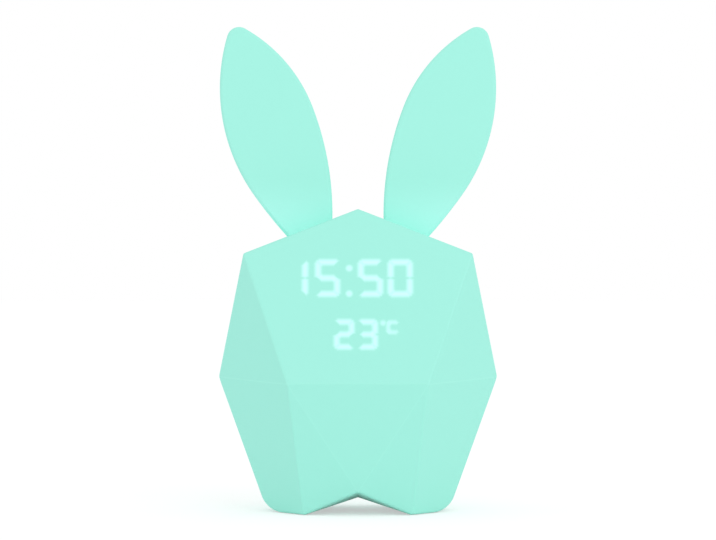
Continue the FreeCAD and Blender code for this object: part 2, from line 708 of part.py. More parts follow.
def pocket(name, growth, low_y):
    """The space round the USB inlet, open to the rear."""
    across = f"(pocket_width / 2 + {growth})"
    tall = f"(pocket_tall / 2 + {growth})"
    level = (f"inlet_level - {tall}", f"inlet_level + {tall}")
    return block(name, (f"-{across}", across), (low_y, "belt_depth"), level)


def power_rails():
    """Grooved rails on the rear wall that hold the charging board's edges."""
    rails = []
    for n, side in enumerate((-1, 1), start=1):
        inner = f"{side} * (power_width / 2 - rail_bite)"
        outer = f"{side} * (power_width / 2 + rail_thick)"
        tall = (f"{POWER_Z[0]} - rail_thick / 2", f"{POWER_Z[1]} + rail_thick / 2")
        bar = block(f"rail_bar_{n}", (inner, outer), ("rail_start", "belt_depth"), tall)
        groove_x = (f"{side} * (power_width / 2 - rail_bite - 1)", f"{side} * (power_width / 2 + fit_gap)")
        groove_z = (f"{POWER_Z[0]} - fit_gap", f"{POWER_Z[1]} + fit_gap")
        groove = block(f"rail_groove_{n}", groove_x, ("0", f"{POWER_Y[1]} + fit_gap"), groove_z)
        rails.append(common(f"rail_in_form_{n}", cut(f"rail_{n}", bar, [groove]), outer_form))
    return rails


def speaker_seat():
    """Posts for the clamp and a ring round the speaker, on the rear triangle."""
    posts = rods("clamp_post", "post_radius", CLAMP_SCREWS, (CLAMP_Y[1], "-wall / 2"))
    ring = cut(
        "speaker_ring",
        rod("ring_out", "speaker_radius + fit_gap + ring_wall", y=(f"{RIM_Y[0]} + fit_gap", "-wall / 2")),
        [rod("ring_in", "speaker_radius + fit_gap", y=(f"{RIM_Y[0]} - 1", "0"))],
    )
    return on_lower_rear(fuse("speaker_seat", posts + [ring]))


def rear_pilots():
    """Holes for the screws that bite into the rear shell."""
    main = rods("main_pilot", PILOT, MAIN_SCREWS, (f"{MAIN_FACE_Y} - 1", "-wall"))
    clamp = rods("clamp_pilot", PILOT, CLAMP_SCREWS, (f"{CLAMP_Y[1]} - 1", "-wall"))
    frame = rods("frame_pilot", PILOT, FRAME_SCREWS, ("-1", "frame_screw_bite + tip_gap"))
    case = rods("case_way", "case_screw_radius + tip_gap", CASE_SCREWS, ("-1", "case_screw_seat + 1"))
    wells = rods("case_well", "case_head_radius + tip_gap", CASE_SCREWS, ("case_screw_seat", "belt_depth"))
    on_panels = [on_rear(fuse("main_pilots", main)), on_lower_rear(fuse("clamp_pilots", clamp))]
    return on_panels + frame + case + wells


def make_rear_shell():
    half = shell_half("rear", "0", "belt_depth")
    bosses = rods("rear_boss", "case_boss_radius", CASE_SCREWS, ("0", "belt_depth"))
    bosses += rods("frame_boss", "frame_boss_radius", FRAME_SCREWS, ("0", "belt_depth"))
    bosses.append(pocket("pocket_block", "pocket_wall", "pocket_floor_y - pocket_wall"))
    lugs = held_inside("rear_bosses", bosses)
    posts = rods("main_post", "post_radius", MAIN_SCREWS, (MAIN_FACE_Y, "-wall / 2"))
    main_posts = on_rear(fuse("main_posts", posts))
    solid = fuse("rear_solid", [half, lugs, main_posts, speaker_seat()] + power_rails())

    seat_ring = cut("lip_seat_ring", lip_seat_form, [cavity_form])
    lip_seat = common("lip_seat", seat_ring, slab("lip_seat_band", "-1", "lip_reach + fit_gap"))
    mouth_x = "(inlet_width / 2 + fit_gap)"
    mouth = block(
        "inlet_mouth",
        (f"-{mouth_x}", mouth_x),
        ("pocket_floor_y - 2 * pocket_wall", "pocket_floor_y + 1"),
        (f"{INLET_Z[0]} - fit_gap", f"{INLET_Z[1]} + fit_gap"),
    )
    cutters = [lip_seat, seam_groove("rear_seam"), rear_panel_holes(), grille_holes(), mouth]
    cutters += [pocket("pocket_space", "0", "pocket_floor_y")] + rear_pilots()
    cutters += ear_slots("rear_slot") + pad_pockets("rear_pocket")
    return subpart(cut("rear_shell", solid, cutters))


make_front_shell()
make_rear_shell()


# Foot pads
for side, label in ((-1, "left_foot_pad"), (1, "right_foot_pad")):
    subpart(pad_shape(label, side, "0", "0"))


# Ears: a sketched leaf, trimmed to the roof, with a stem and a hidden anchor
def arc_between(centre, start, end):
    radius = (start - centre).Length
    first = math.atan2(start.y - centre.y, start.x - centre.x)
    last = math.atan2(end.y - centre.y, end.x - centre.x)
    if last < first:
        last += 2 * math.pi
    return Part.ArcOfCircle(Part.Circle(centre, Vector(0, 0, 1), radius), first, last)


def circle_centre(start, end, radius):
    """The centre, to the left of the way from start to end, of an arc of a radius."""
    way = end - start
    left = Vector(-way.y, way.x, 0).normalize()
    return (start + end) * 0.5 + left * math.sqrt(radius ** 2 - way.Length ** 2 / 4)


def ear_sketch(body):
    """Two leaf edges of two tangent arcs each, joined by a round tip."""
    sketch = body.newObject("Sketcher::SketchObject", "ear_outline")
    plane = next(f for f in body.Origin.OriginFeatures if f.Role == "XZ_Plane")
    sketch.AttachmentSupport = [(plane, "")]
    sketch.MapMode = "FlatFace"
    root_out = Vector(sizes.ear_outer_root, -sizes.ear_sink, 0)
    root_in = Vector(sizes.ear_inner_root, -sizes.ear_sink, 0)
    bend_out = Vector(sizes.ear_outer_x, sizes.ear_outer_rise, 0)
    bend_in = Vector(sizes.ear_inner_x, sizes.ear_inner_rise, 0)
    low_out = circle_centre(root_out, bend_out, sizes.ear_outer_low_arc)
    low_in = circle_centre(bend_in, root_in, sizes.ear_inner_low_arc)
    top_out = bend_out + (low_out - bend_out).normalize() * sizes.ear_outer_top_arc
    top_in = bend_in + (low_in - bend_in).normalize() * sizes.ear_inner_top_arc
    tip = tip_centre(top_out, top_in)
    touch_out = tip + (tip - top_out).normalize() * sizes.ear_tip_round
    touch_in = tip + (tip - top_in).normalize() * sizes.ear_tip_round
    sketch.addGeometry([
        arc_between(low_out, root_out, bend_out),
        arc_between(top_out, bend_out, touch_out),
        arc_between(tip, touch_out, touch_in),
        arc_between(top_in, touch_in, bend_in),
        arc_between(low_in, bend_in, root_in),
        Part.LineSegment(root_in, root_out),
    ], False)
    start, end = 1, 2
    for edge in range(4):
        sketch.addConstraint(Sketcher.Constraint("Tangent", edge, end, edge + 1, start))
    sketch.addConstraint(Sketcher.Constraint("Coincident", 4, end, 5, start))
    sketch.addConstraint(Sketcher.Constraint("Coincident", 5, end, 0, start))
    for edge, alias in enumerate((
        "ear_outer_low_arc",
        "ear_outer_top_arc",
        "ear_tip_round",
        "ear_inner_top_arc",
        "ear_inner_low_arc",
    )):
        drive(sketch, Sketcher.Constraint("Radius", edge, getattr(sizes, alias)), alias)
    for edge, place, across, up in (
        (0, start, "ear_outer_root", "-ear_sink"),
        (0, end, "ear_outer_x", "ear_outer_rise"),
        (4, start, "ear_inner_x", "ear_inner_rise"),
        (4, end, "ear_inner_root", "-ear_sink"),
    ):
        spot = {(0, 1): root_out, (0, 2): bend_out, (4, 1): bend_in, (4, 2): root_in}[(edge, place)]
        drive(sketch, Sketcher.Constraint("DistanceX", -1, 1, edge, place, spot.x), across)
        drive(sketch, Sketcher.Constraint("DistanceY", -1, 1, edge, place, spot.y), up)
    return sketch


def tip_centre(one, other):
    """Where a small circle touches both top arcs from inside."""
    reach_one = sizes.ear_outer_top_arc - sizes.ear_tip_round
    reach_other = sizes.ear_inner_top_arc - sizes.ear_tip_round
    way = other - one
    along = (reach_one ** 2 - reach_other ** 2 + way.Length ** 2) / (2 * way.Length)
    side = Vector(-way.y, way.x, 0).normalize()
    return one + way.normalize() * along + side * math.sqrt(reach_one ** 2 - along ** 2)


def drive(sketch, constraint, rule):
    """Adds a measured constraint and binds it to a rule."""
    number = sketch.addConstraint(constraint)
    sketch.setExpression(f"Constraints[{number}]", linked(rule))


def ear_blade():
    body = doc.addObject("PartDesign::Body", "ear_blade")
    pad = body.newObject("PartDesign::Pad", "ear_pad")
    pad.Profile = ear_sketch(body)
    pad.SideType = "Symmetric"
    pad.setExpression("Length", linked("ear_thick"))
    doc.recompute()
    rims = [
        f"Edge{n}" for n, edge in enumerate(pad.Shape.Edges, start=1)
        if abs(abs(edge.CenterOfMass.y) - sizes.ear_thick / 2) < 0.01
    ]
    rounds = body.newObject("PartDesign::Fillet", "ear_rim")
    rounds.Base = (pad, rims)
    rounds.setExpression("Radius", linked("ear_round"))
    body.Tip = rounds
    return shift(body, "ear_x", "0", ROOF_Z)


def make_ears():
    blade = cut("blade_on_roof", ear_blade(), [outer_form])
    stem_z = ("-(wall + fit_gap)", "1")
    stem = block("ear_stem", about("0", "stem_width"), about("0", "stem_thick"), stem_z)
    anchor_z = ("-(wall + fit_gap + anchor_tall)", "-(wall + fit_gap)")
    anchor = block("ear_anchor", about("0", "anchor_width"), about("0", "anchor_thick"), anchor_z)
    right = subpart(fuse("right_ear", [blade, on_roof(fuse("ear_root", [stem, anchor]), 1)]))
    left = doc.addObject("Part::Mirroring", "left_ear")
    left.Source = right
    left.Normal = (1, 0, 0)
    subpart(left)


make_ears()


# Display: film, light-proof mask, light chips and board behind the front panel
def segment_windows(x, u, width, tall, stroke):
    """The seven strokes of one digit, top first and the middle last."""
    side = f"({width} / 2 - {stroke})"
    edge = f"({width} / 2)"
    top = f"({tall} / 2)"
    across = (f"{x} - {side} + segment_gap", f"{x} + {side} - segment_gap")
    left = (f"{x} - {edge}", f"{x} - {side}")
    right = (f"{x} + {side}", f"{x} + {edge}")
    upper = (f"{u} + segment_gap / 2", f"{u} + {top}")
    lower = (f"{u} - {top}", f"{u} - segment_gap / 2")
    return [
        (across, (f"{u} + {top} - {stroke}", f"{u} + {top}")),
        (right, upper),
        (right, lower),
        (across, (f"{u} - {top}", f"{u} - {top} + {stroke}")),
        (left, lower),
        (left, upper),
        (across, (f"{u} - {stroke} / 2", f"{u} + {stroke} / 2")),
    ]


def square_window(x, u, size):
    return (about(x, size), about(u, size))


def display_windows():
    windows = []
    for x in (
        "(colon_x - pair_offset - hour_pitch)",
        "(colon_x - pair_offset)",
        "(colon_x + pair_offset)",
        "(colon_x + pair_offset + minute_pitch)",
    ):
        windows += segment_windows(x, "time_u", "time_width", "time_tall", "stroke")
    for x in ("degree_tens_x", "(degree_tens_x + degree_pitch)"):
        windows += segment_windows(x, "degree_u", "degree_width", "degree_tall", "stroke")
    unit = segment_windows("unit_x", "unit_u", "unit_width", "unit_tall", "unit_stroke")
    windows += [unit[0], unit[3], unit[4], unit[5]]
    windows += [square_window("colon_x", f"(colon_u {sign} dot_rise)", "dot_size") for sign in "+-"]
    windows.append(square_window("degree_dot_x", "degree_dot_u", "degree_dot"))
    return windows


TIME_X = (
    "(colon_x - pair_offset - hour_pitch - time_width / 2 - mask_rim)",
    "(colon_x + pair_offset + minute_pitch + time_width / 2 + mask_rim)",
)
DEGREE_X = ("(degree_tens_x - degree_width / 2 - mask_rim)", "(unit_x + unit_width / 2 + mask_rim)")
TIME_TOP = "(time_u + time_tall / 2 + mask_rim)"
DEGREE_LOW = "(degree_u - degree_tall / 2 - mask_rim)"


def stepped_plate(name, wide, narrow, y):
    """A plate that is wide behind the time and narrow behind the temperature."""
    upper = block(f"{name}_upper", wide, y, ("mask_split_u", TIME_TOP))
    lower = block(f"{name}_lower", narrow, y, (DEGREE_LOW, "mask_split_u"))
    return fuse(name, [upper, lower])


def make_display():
    windows = display_windows()
    subpart(on_front(stepped_plate("display_film", TIME_X, DEGREE_X, FILM_Y)))
    plate = stepped_plate("mask_plate", TIME_X, DEGREE_X, MASK_Y)
    cells = [
        block(f"window_{n}", x, (f"{MASK_Y[0]} - 1", f"{MASK_Y[1]} + 1"), u)
        for n, (x, u) in enumerate(windows, start=1)
    ]
    subpart(on_front(cut("display_mask", plate, cells)))
    chips = []
    for n, (x, u) in enumerate(windows, start=1):
        middle_x = f"(({x[0]}) + ({x[1]})) / 2"
        middle_u = f"(({u[0]}) + ({u[1]})) / 2"
        across = f"min(led_size; ({x[1]}) - ({x[0]}) - 2 * fit_gap)"
        along = f"min(led_size; ({u[1]}) - ({u[0]}) - 2 * fit_gap)"
        chips.append(block(
            f"chip_{n}",
            about(middle_x, across),
            (f"{DISPLAY_Y[0]} - led_tall", DISPLAY_Y[0]),
            about(middle_u, along),
        ))
    subpart(on_front(group("display_leds", chips)))
    wide = ("-(display_high_x + board_rim)", "display_high_x + board_rim")
    narrow = ("-(display_low_x + board_rim)", "display_low_x + board_rim")
    board = stepped_plate("display_blank", wide, narrow, DISPLAY_Y)
    through = (f"{DISPLAY_Y[0]} - 1", f"{DISPLAY_Y[1]} + 1")
    holes = rods("display_hole", "screw_radius + fit_gap", DISPLAY_SCREWS, through)
    subpart(on_front(cut("display_board", board, holes)))
    on_front(screws(
        "display_screws", DISPLAY_SCREWS, "wall + 2 * fit_gap", DISPLAY_Y[1], f"{DISPLAY_Y[1]} + head_tall",
        "screw_radius", "head_radius",
    ))


# Main board on the rear panel, with its switches and connectors
def connector_box(name, x, y_face, level, ahead):
    deep = (y_face, f"{y_face} + {ahead} * plug_deep")
    return block(name, about(x, "plug_width"), deep, about(level, "plug_tall"))


def make_main_board():
    across = ("-(main_screw_x + board_rim)", "main_screw_x + board_rim")
    blank = block("main_blank", across, (MAIN_BACK_Y, MAIN_FACE_Y), ("main_low_u", "main_high_u"))
    through = (f"{MAIN_BACK_Y} - 1", f"{MAIN_FACE_Y} + 1")
    holes = rods("main_hole", "screw_radius + fit_gap", MAIN_SCREWS, through)
    subpart(on_rear(cut("main_board", blank, holes)))
    on_rear(screws(
        "main_board_screws", MAIN_SCREWS, "-(wall + 2 * fit_gap)", MAIN_BACK_Y, f"{MAIN_BACK_Y} - head_tall",
        "screw_radius", "head_radius",
    ))
    chips = []
    for name, x, width, tall in (
        ("controller_chip", "controller_x", "controller_size", "controller_size"),
        ("sound_chip", "sound_chip_x", "sound_chip_size", "sound_chip_size"),
        ("clock_crystal", "crystal_x", "crystal_width", "crystal_length"),
    ):
        deep = (f"{MAIN_BACK_Y} - chip_tall", MAIN_BACK_Y)
        chips.append(block(name, about(x, width), deep, about("button_u", tall)))
    subpart(on_rear(group("main_chips", chips)))
    plugs = [
        connector_box(f"plug_{name}", f"{step} * plug_pitch", MAIN_BACK_Y, PLUG_U, -1)
        for name, step in PLUG_STEPS.items()
    ]
    subpart(on_rear(group("board_connectors", plugs)))
    reach = (MAIN_FACE_Y, f"{MAIN_FACE_Y} + sensor_reach")
    bead = rod("sensor_bead", "sensor_radius", x="vent_x", y=reach, z=PLUG_U)
    subpart(on_rear(lone("temperature_sensor", bead)))


def make_button(name):
    """One key and its plunger; returns the switch body under them."""
    x = BUTTON_X[name]

    def bar(part, radius, y):
        return rod(f"{name}_{part}", radius, x=x, y=y, z="button_u")

    bevel_y = ("button_proud - edge_round / 2", "button_proud")
    shank = bar("shank", "button_radius", (FLANGE_Y[0], bevel_y[0]))
    flange = bar("flange", "button_radius + button_gap + flange_reach", FLANGE_Y)
    crown = taper(f"{name}_bevel", "button_radius", "button_radius - edge_round / 2", x, bevel_y, "button_u")
    subpart(on_rear(fuse(f"{name}_button", [shank, flange, crown])))
    plunger = bar("pin", "plunger_radius", (f"{SWITCH_TOP_Y} - plunger_depth", FLANGE_Y[0]))
    subpart(on_rear(lone(f"{name}_plunger", plunger)))

    housing_y = (MAIN_FACE_Y, SWITCH_TOP_Y)
    housing = block(f"{name}_housing", about(x, "switch_size"), housing_y, about("button_u", "switch_size"))
    floor = f"{SWITCH_TOP_Y} - plunger_depth - button_travel - fit_gap"
    bore = bar("bore", "plunger_radius + plunger_gap", (floor, f"{SWITCH_TOP_Y} + 1"))
    return cut(f"{name}_switch", housing, [bore])


def make_alarm_switch():
    front = f"{MAIN_FACE_Y} + slide_deep"
    housing_y = (MAIN_FACE_Y, front)
    housing = block("slide_housing", about("0", "slide_length"), housing_y, about("knob_u", "slide_tall"))
    slot = block(
        "slide_slot",
        about("0", "(lever_length + knob_travel + 2 * fit_gap)"),
        (f"{front} - lever_depth - fit_gap", f"{front} + 1"),
        about("knob_u", "(lever_tall + 2 * plunger_gap)"),
    )
    subpart(on_rear(cut("alarm_switch", housing, [slot])))
    centre = "-knob_travel / 2"
    lever_y = (f"{front} - lever_depth", FLANGE_Y[0])
    lever = block("lever_bar", about(centre, "lever_length"), lever_y, about("knob_u", "lever_tall"))
    subpart(on_rear(lone("alarm_lever", lever)))
    tall = about("knob_u", "knob_tall")
    shank = block("knob_shank", about(centre, "knob_length"), (FLANGE_Y[0], "knob_proud"), tall)
    flange = block(
        "knob_flange",
        about(centre, "(knob_length + 2 * (knob_travel + knob_gap + flange_reach))"),
        FLANGE_Y,
        about("knob_u", "(knob_tall + 2 * (knob_gap + flange_reach))"),
    )
    rib_y = ("0", "knob_proud + rib_proud")
    ribs = [
        block(f"knob_rib_{n + 2}", about(f"{centre} + {n} * knob_length / 4", "rib_width"), rib_y, tall)
        for n in (-1, 0, 1)
    ]
    subpart(on_rear(fuse("alarm_knob", [shank, flange] + ribs)))


# Charging board and USB inlet
def obround(name, growth, y):
    """The rounded section of the inlet, along y."""
    radius = f"(inlet_tall / 2 + {growth})"
    reach = "(inlet_width / 2 - inlet_tall / 2)"
    tall = about("inlet_level", f"(2 * {radius})")
    middle = block(f"{name}_mid", (f"-{reach}", reach), y, tall)
    places = [(f"{side} * {reach}", "inlet_level") for side in (-1, 1)]
    return fuse(name, [middle] + rods(f"{name}_end", radius, places, y))


def make_power_board():
    subpart(block("power_board", about("0", "power_width"), POWER_Y, POWER_Z))
    back = "pocket_floor_y - inlet_deep"
    inner_back = f"{back} + inlet_back"
    outside = obround("inlet_outside", "0", (back, "pocket_floor_y"))
    inside = obround("inlet_inside", "-inlet_skin", (inner_back, "pocket_floor_y + 1"))
    subpart(cut("usb_housing", outside, [inside]))
    subpart(block(
        "usb_tongue",
        about("0", "(inlet_width - 2 * tongue_margin)"),
        (inner_back, "pocket_floor_y - tongue_short"),
        about("inlet_level", "tongue_thick"),
    ))
    parts = [
        connector_box(f"plug_{name}", f"{side} * power_plug_x", POWER_PLUG_Y, POWER_PLUG_Z, 1)
        for name, side in (("cell", -1), ("feed", 1))
    ]
    chip_z = (POWER_Z[1], f"{POWER_Z[1]} + chip_tall")
    parts.append(block("charger_chip", about("0", "charger_size"), about(CHARGER_Y, "charger_size"), chip_z))
    subpart(group("power_parts", parts))


# Inner frame with the cell behind it and the night light before it
CELL_X = ("-cell_width / 2", "cell_width / 2")
CELL_Y = ("tape_thick", "tape_thick + cell_thick")
CELL_Z = ("cell_level - cell_tall / 2", "cell_level + cell_tall / 2")
FRAME_Y = ("-frame_thick", "0")
LEAD_SLOT = "(lead_radius + 4 * fit_gap)"
LAMP_LED_RING = 6


def lamp_lead_slot(name):
    """The way out of the dome and its ring for the night light's lead."""
    return block(
        name,
        (f"-{LEAD_SLOT}", LEAD_SLOT),
        (f"-(frame_thick + 2 * {LEAD_SLOT})", "-frame_thick"),
        ("lamp_level + lamp_radius", "lamp_level + 2 * dome_radius"),
    )


def lamp_stakes(name, radius, y):
    """Bars on both sides of the night light's board, where it is staked."""
    return rods(name, radius, [(f"{side} * lamp_stake_x", "lamp_level") for side in (-1, 1)], y)


def tray_box(name, rim, y):
    """The space of the cell with a rim all round it."""
    rim = f"(fit_gap + tip_gap + {rim})"
    wide = (f"{CELL_X[0]} - {rim}", f"{CELL_X[1]} + {rim}")
    return block(name, wide, y, (f"{CELL_Z[0]} - {rim}", f"{CELL_Z[1]} + {rim}"))


def make_frame():
    plate = block("frame_plate", about("0", "frame_width"), FRAME_Y, ("frame_low_z", "frame_high_z"))
    ring_y = ("-(frame_thick + ring_tall)", "-frame_thick / 2")
    mouth_y = ("-(frame_thick + ring_tall + 1)", "0")
    ring = cut(
        "dome_ring",
        rod("dome_ring_out", "dome_radius + fit_gap + ring_wall", y=ring_y, z="lamp_level"),
        [rod("dome_ring_in", "dome_radius + fit_gap", y=mouth_y, z="lamp_level")],
    )
    tray_y = ("-frame_thick / 2", "tape_thick + cell_thick / 2")
    tray = cut(
        "cell_tray",
        tray_box("cell_tray_out", "tray_rib", tray_y),
        [tray_box("cell_tray_in", "0", ("-frame_thick", "2 * cell_thick"))],
    )
    stake_y = ("-(frame_thick + board_thick + stake_proud)", "-frame_thick / 2")
    stakes = lamp_stakes("lamp_stake", "screw_radius", stake_y)
    holes = rods("frame_hole", "screw_radius + tip_gap", FRAME_SCREWS, ("-2 * frame_thick", "1"))
    solid = fuse("frame_solid", [plate, ring, tray] + stakes)
    subpart(cut("inner_frame", solid, holes + [lamp_lead_slot("ring_slot")]))
    screws(
        "frame_screws", FRAME_SCREWS, "frame_screw_bite", FRAME_Y[0], "-(frame_thick + head_tall)",
        "screw_radius", "head_radius",
    )
    subpart(block("cell_tape", CELL_X, ("0", "tape_thick"), CELL_Z))
    subpart(block("battery_cell", CELL_X, CELL_Y, CELL_Z))


def rounded_disc(name, radius, rounding, base, top):
    """A disc along y whose front rim is round."""
    core = f"({radius} - {rounding})"
    start = f"({top} + {rounding})"
    rim = doc.addObject("Part::Torus", f"{name}_rim")
    rim.Placement = Placement(Vector(), Rotation(Vector(1, 0, 0), -90))
    rim.setExpression("Radius1", linked(core))
    rim.setExpression("Radius2", linked(rounding))
    shift(rim, "0", start, "lamp_level")
    side = rod(f"{name}_side", radius, y=(base, start), z="lamp_level")
    face = rod(f"{name}_face", core, y=(base, top), z="lamp_level")
    return fuse(name, [side, face, rim])


def make_night_light():
    board_y = ("-(frame_thick + board_thick)", "-frame_thick")
    disc = rod("lamp_disc", "lamp_radius", y=board_y, z="lamp_level")
    holes = lamp_stakes("lamp_hole", "screw_radius + fit_gap", ("-3 * frame_thick", "0"))
    subpart(cut("light_board", disc, holes))
    spots = [("0", "lamp_level")]
    for n in range(LAMP_LED_RING):
        angle = (n + 0.5) * 360 / LAMP_LED_RING
        across = f"lamp_led_circle * cos({angle} * 1 deg)"
        spots.append((across, f"lamp_level + lamp_led_circle * sin({angle} * 1 deg)"))
    chip_y = (f"{board_y[0]} - lamp_led_tall", board_y[0])
    chips = [
        block(f"lamp_led_{n}", about(x, "lamp_led_size"), chip_y, about(z, "lamp_led_size"))
        for n, (x, z) in enumerate(spots)
    ]
    subpart(group("light_leds", chips))
    top = "-(frame_thick + dome_tall)"
    outside = rounded_disc("dome_outside", "dome_radius", "dome_round", "-frame_thick", top)
    inside = rounded_disc(
        "dome_inside", "(dome_radius - dome_wall)", "(dome_round - dome_wall)", "0", f"({top} + dome_wall)"
    )
    subpart(cut("light_dome", outside, [inside, lamp_lead_slot("dome_slot")]))


# Speaker behind the grille
def make_speaker():
    throat = "(speaker_radius - speaker_edge)"
    subpart(on_lower_rear(cut(
        "speaker_gasket",
        rod("gasket_out", "speaker_radius", y=GASKET_Y),
        [rod("gasket_in", throat, y=(f"{GASKET_Y[0]} - 1", f"{GASKET_Y[1]} + 1"))],
    )))
    bowl_back = f"({RIM_Y[0]} - speaker_bowl)"
    inner_back = f"({bowl_back} + basket_skin)"
    bowl_y = (bowl_back, RIM_Y[0])
    bowl = taper("bowl_out", "magnet_radius + basket_skin", f"{throat} + basket_skin", y=bowl_y)
    rim = rod("rim_disc", "speaker_radius", y=RIM_Y)
    hollow = taper("bowl_in", "magnet_radius", throat, y=(inner_back, RIM_Y[0]))
    mouth = rod("rim_mouth", throat, y=(RIM_Y[0], f"{RIM_Y[1]} + 1"))
    tab = block("solder_tab", about("0", "tab_width"), TAB_Y, ("magnet_radius", "speaker_radius - tab_short"))
    subpart(on_lower_rear(cut("speaker_basket", fuse("basket_solid", [bowl, rim, tab]), [hollow, mouth])))
    paper_back = f"({RIM_Y[0]} - speaker_bowl / 2)"
    paper_out = taper("paper_out", "paper_eye + paper_thick", f"{throat} - fit_gap", y=(paper_back, RIM_Y[1]))
    hollow_y = (f"{paper_back} + paper_thick", RIM_Y[1])
    paper_in = taper("paper_in", "paper_eye", f"{throat} - fit_gap - paper_thick", y=hollow_y)
    subpart(on_lower_rear(cut("speaker_cone", paper_out, [paper_in])))
    magnet = rod("magnet_disc", "magnet_radius", y=(f"{bowl_back} - magnet_tall", bowl_back))
    subpart(on_lower_rear(lone("speaker_magnet", magnet)))
    ring = rod("clamp_disc", "speaker_radius + 1", y=CLAMP_Y)
    wide = ("-(clamp_screw_x + board_rim)", "clamp_screw_x + board_rim")
    bar = block("clamp_bar", wide, CLAMP_Y, ("clamp_screw_u - board_rim", "clamp_screw_u + board_rim"))
    through = (f"{CLAMP_Y[0]} - 1", f"{CLAMP_Y[1]} + 1")
    middle = rod("clamp_mouth", f"{throat} + 1", y=through)
    holes = rods("clamp_hole", "screw_radius + fit_gap", CLAMP_SCREWS, through)
    subpart(on_lower_rear(cut("speaker_clamp", fuse("clamp_solid", [ring, bar]), [middle] + holes)))
    on_lower_rear(screws(
        "speaker_screws", CLAMP_SCREWS, "-(wall + 2 * fit_gap)", CLAMP_Y[0], f"{CLAMP_Y[0]} - head_tall",
        "screw_radius", "head_radius",
    ))


make_display()
make_main_board()
subpart(on_rear(group("push_switches", [make_button(name) for name in BUTTONS])))
make_alarm_switch()
make_power_board()
make_frame()
make_night_light()
make_speaker()
screws(
    "case_screws", CASE_SCREWS, "-case_screw_bite", "case_screw_seat", "case_screw_seat + case_head_tall",
    "case_screw_radius", "case_head_radius",
)


# Inner leads: straight runs joined by tangent arcs
def tube(name, points):
    """A lead along a route of points, with arcs as large as its runs allow."""
    edges = []
    radii = []
    start = points[0]
    for before, corner, after in zip(points, points[1:], points[2:]):
        back = (before - corner).normalize()
        ahead = (after - corner).normalize()
        turn = math.pi - back.getAngle(ahead)
        reach = sizes.lead_reach * min((before - corner).Length, (after - corner).Length)
        radius = reach / math.tan(turn / 2)
        radii.append(round(radius, 1))
        enter = corner + back * reach
        leave = corner + ahead * reach
        towards = (back + ahead).normalize()
        middle = corner + towards * (math.hypot(radius, reach) - radius)
        edges.append(Part.LineSegment(start, enter).toShape())
        edges.append(Part.Arc(enter, middle, leave).toShape())
        start = leave
    edges.append(Part.LineSegment(start, points[-1]).toShape())
    path = Part.Wire(edges)
    heading = points[1] - points[0]
    section = Part.Wire(Part.makeCircle(sizes.lead_radius, points[0], heading))
    item = doc.addObject("Part::Feature", name)
    item.Shape = path.makePipeShell([section], True, False)
    print(name, "length", round(path.Length, 1), "bend radii", radii)
    return subpart(item)


def rear_point(x, y, u):
    """A point of the rear panel's frame, in the clock's frame."""
    lean = math.radians(sizes.panel_lean)
    return Vector(
        x,
        panel_y(sizes.panel_level) + y * math.cos(lean) - u * math.sin(lean),
        sizes.panel_level + y * math.sin(lean) + u * math.cos(lean),
    )


def front_point(x, y, u):
    """A point of the front panel's frame, y inward, in the clock's frame."""
    return flip(rear_point(x, -y, u), y=-1)


def lower_point(x, y, u):
    """A point of the rear triangle's frame, in the clock's frame."""
    slope = (sizes.belt_depth - sizes.notch_depth) / 2 / (sizes.belt_level - sizes.notch_level)
    lean = -math.atan(slope)
    origin_y = sizes.belt_depth / 2 - (sizes.belt_level - sizes.speaker_level) * slope
    return Vector(
        x,
        origin_y + y * math.cos(lean) - u * math.sin(lean),
        sizes.speaker_level + y * math.sin(lean) + u * math.cos(lean),
    )


def plug_ends(name):
    """The start of a straight run into a main board connector, and its end."""
    depth = sizes.wall + sizes.fit_gap + sizes.flange_thick + sizes.plunger_free
    face = -(depth + sizes.switch_tall + sizes.board_thick + sizes.plug_deep)
    x = PLUG_STEPS[name] * sizes.plug_pitch
    u = sizes.main_low_u + sizes.plug_rise
    return [rear_point(x, face - sizes.lead_run, u), rear_point(x, face, u)]


def make_display_lead():
    board_back = sizes.wall + sizes.fit_gap + sizes.film_thick + sizes.mask_thick + sizes.board_thick
    x = sizes.display_lead_x
    u = sizes.mask_split_u + sizes.lead_run
    start = front_point(x, board_back, u)
    away = front_point(x, board_back + sizes.lead_run, u)
    ends = plug_ends("display")
    bow = (away + ends[0]) * 0.5 + Vector(0, 0, sizes.lead_bow)
    tube("display_lead", [start, away, bow] + ends)


def make_power_leads():
    """From the cell to the charging board and from there to the main board."""
    plug_z = sizes.inlet_level - sizes.inlet_tall / 2 + sizes.plug_tall / 2
    feed = Vector(sizes.power_plug_x, sizes.power_plug_x + sizes.plug_deep, plug_z)
    tube("power_lead", [feed, feed + Vector(0, sizes.lead_run, 0)] + plug_ends("power"))

    cell_y = sizes.tape_thick + sizes.cell_thick - sizes.lead_radius - sizes.lead_bow / 2
    cell = Vector(sizes.cell_lead_x, cell_y, sizes.cell_level + sizes.cell_tall / 2)
    plug_x = -(sizes.power_plug_x + sizes.plug_width / 2)
    plug = Vector(plug_x, sizes.power_plug_x + sizes.plug_deep / 2, plug_z)
    beside = Vector(sizes.cell_lead_x + sizes.lead_bow, plug.y, plug_z)
    tube("battery_lead", [cell, cell + Vector(0, 0, sizes.lead_run), beside, plug])


def make_light_lead():
    """From the night light, over the frame's upper edge, to the main board."""
    y = -(sizes.frame_thick + sizes.lead_radius + sizes.tip_gap)
    over = sizes.frame_high_z + sizes.lead_radius + 2 * sizes.lead_bow
    tube("light_lead", [
        Vector(0, y, sizes.lamp_level + sizes.lamp_radius),
        Vector(0, y, over),
        Vector(0, y + 3 * sizes.lead_run, over + sizes.lead_bow),
    ] + plug_ends("light"))


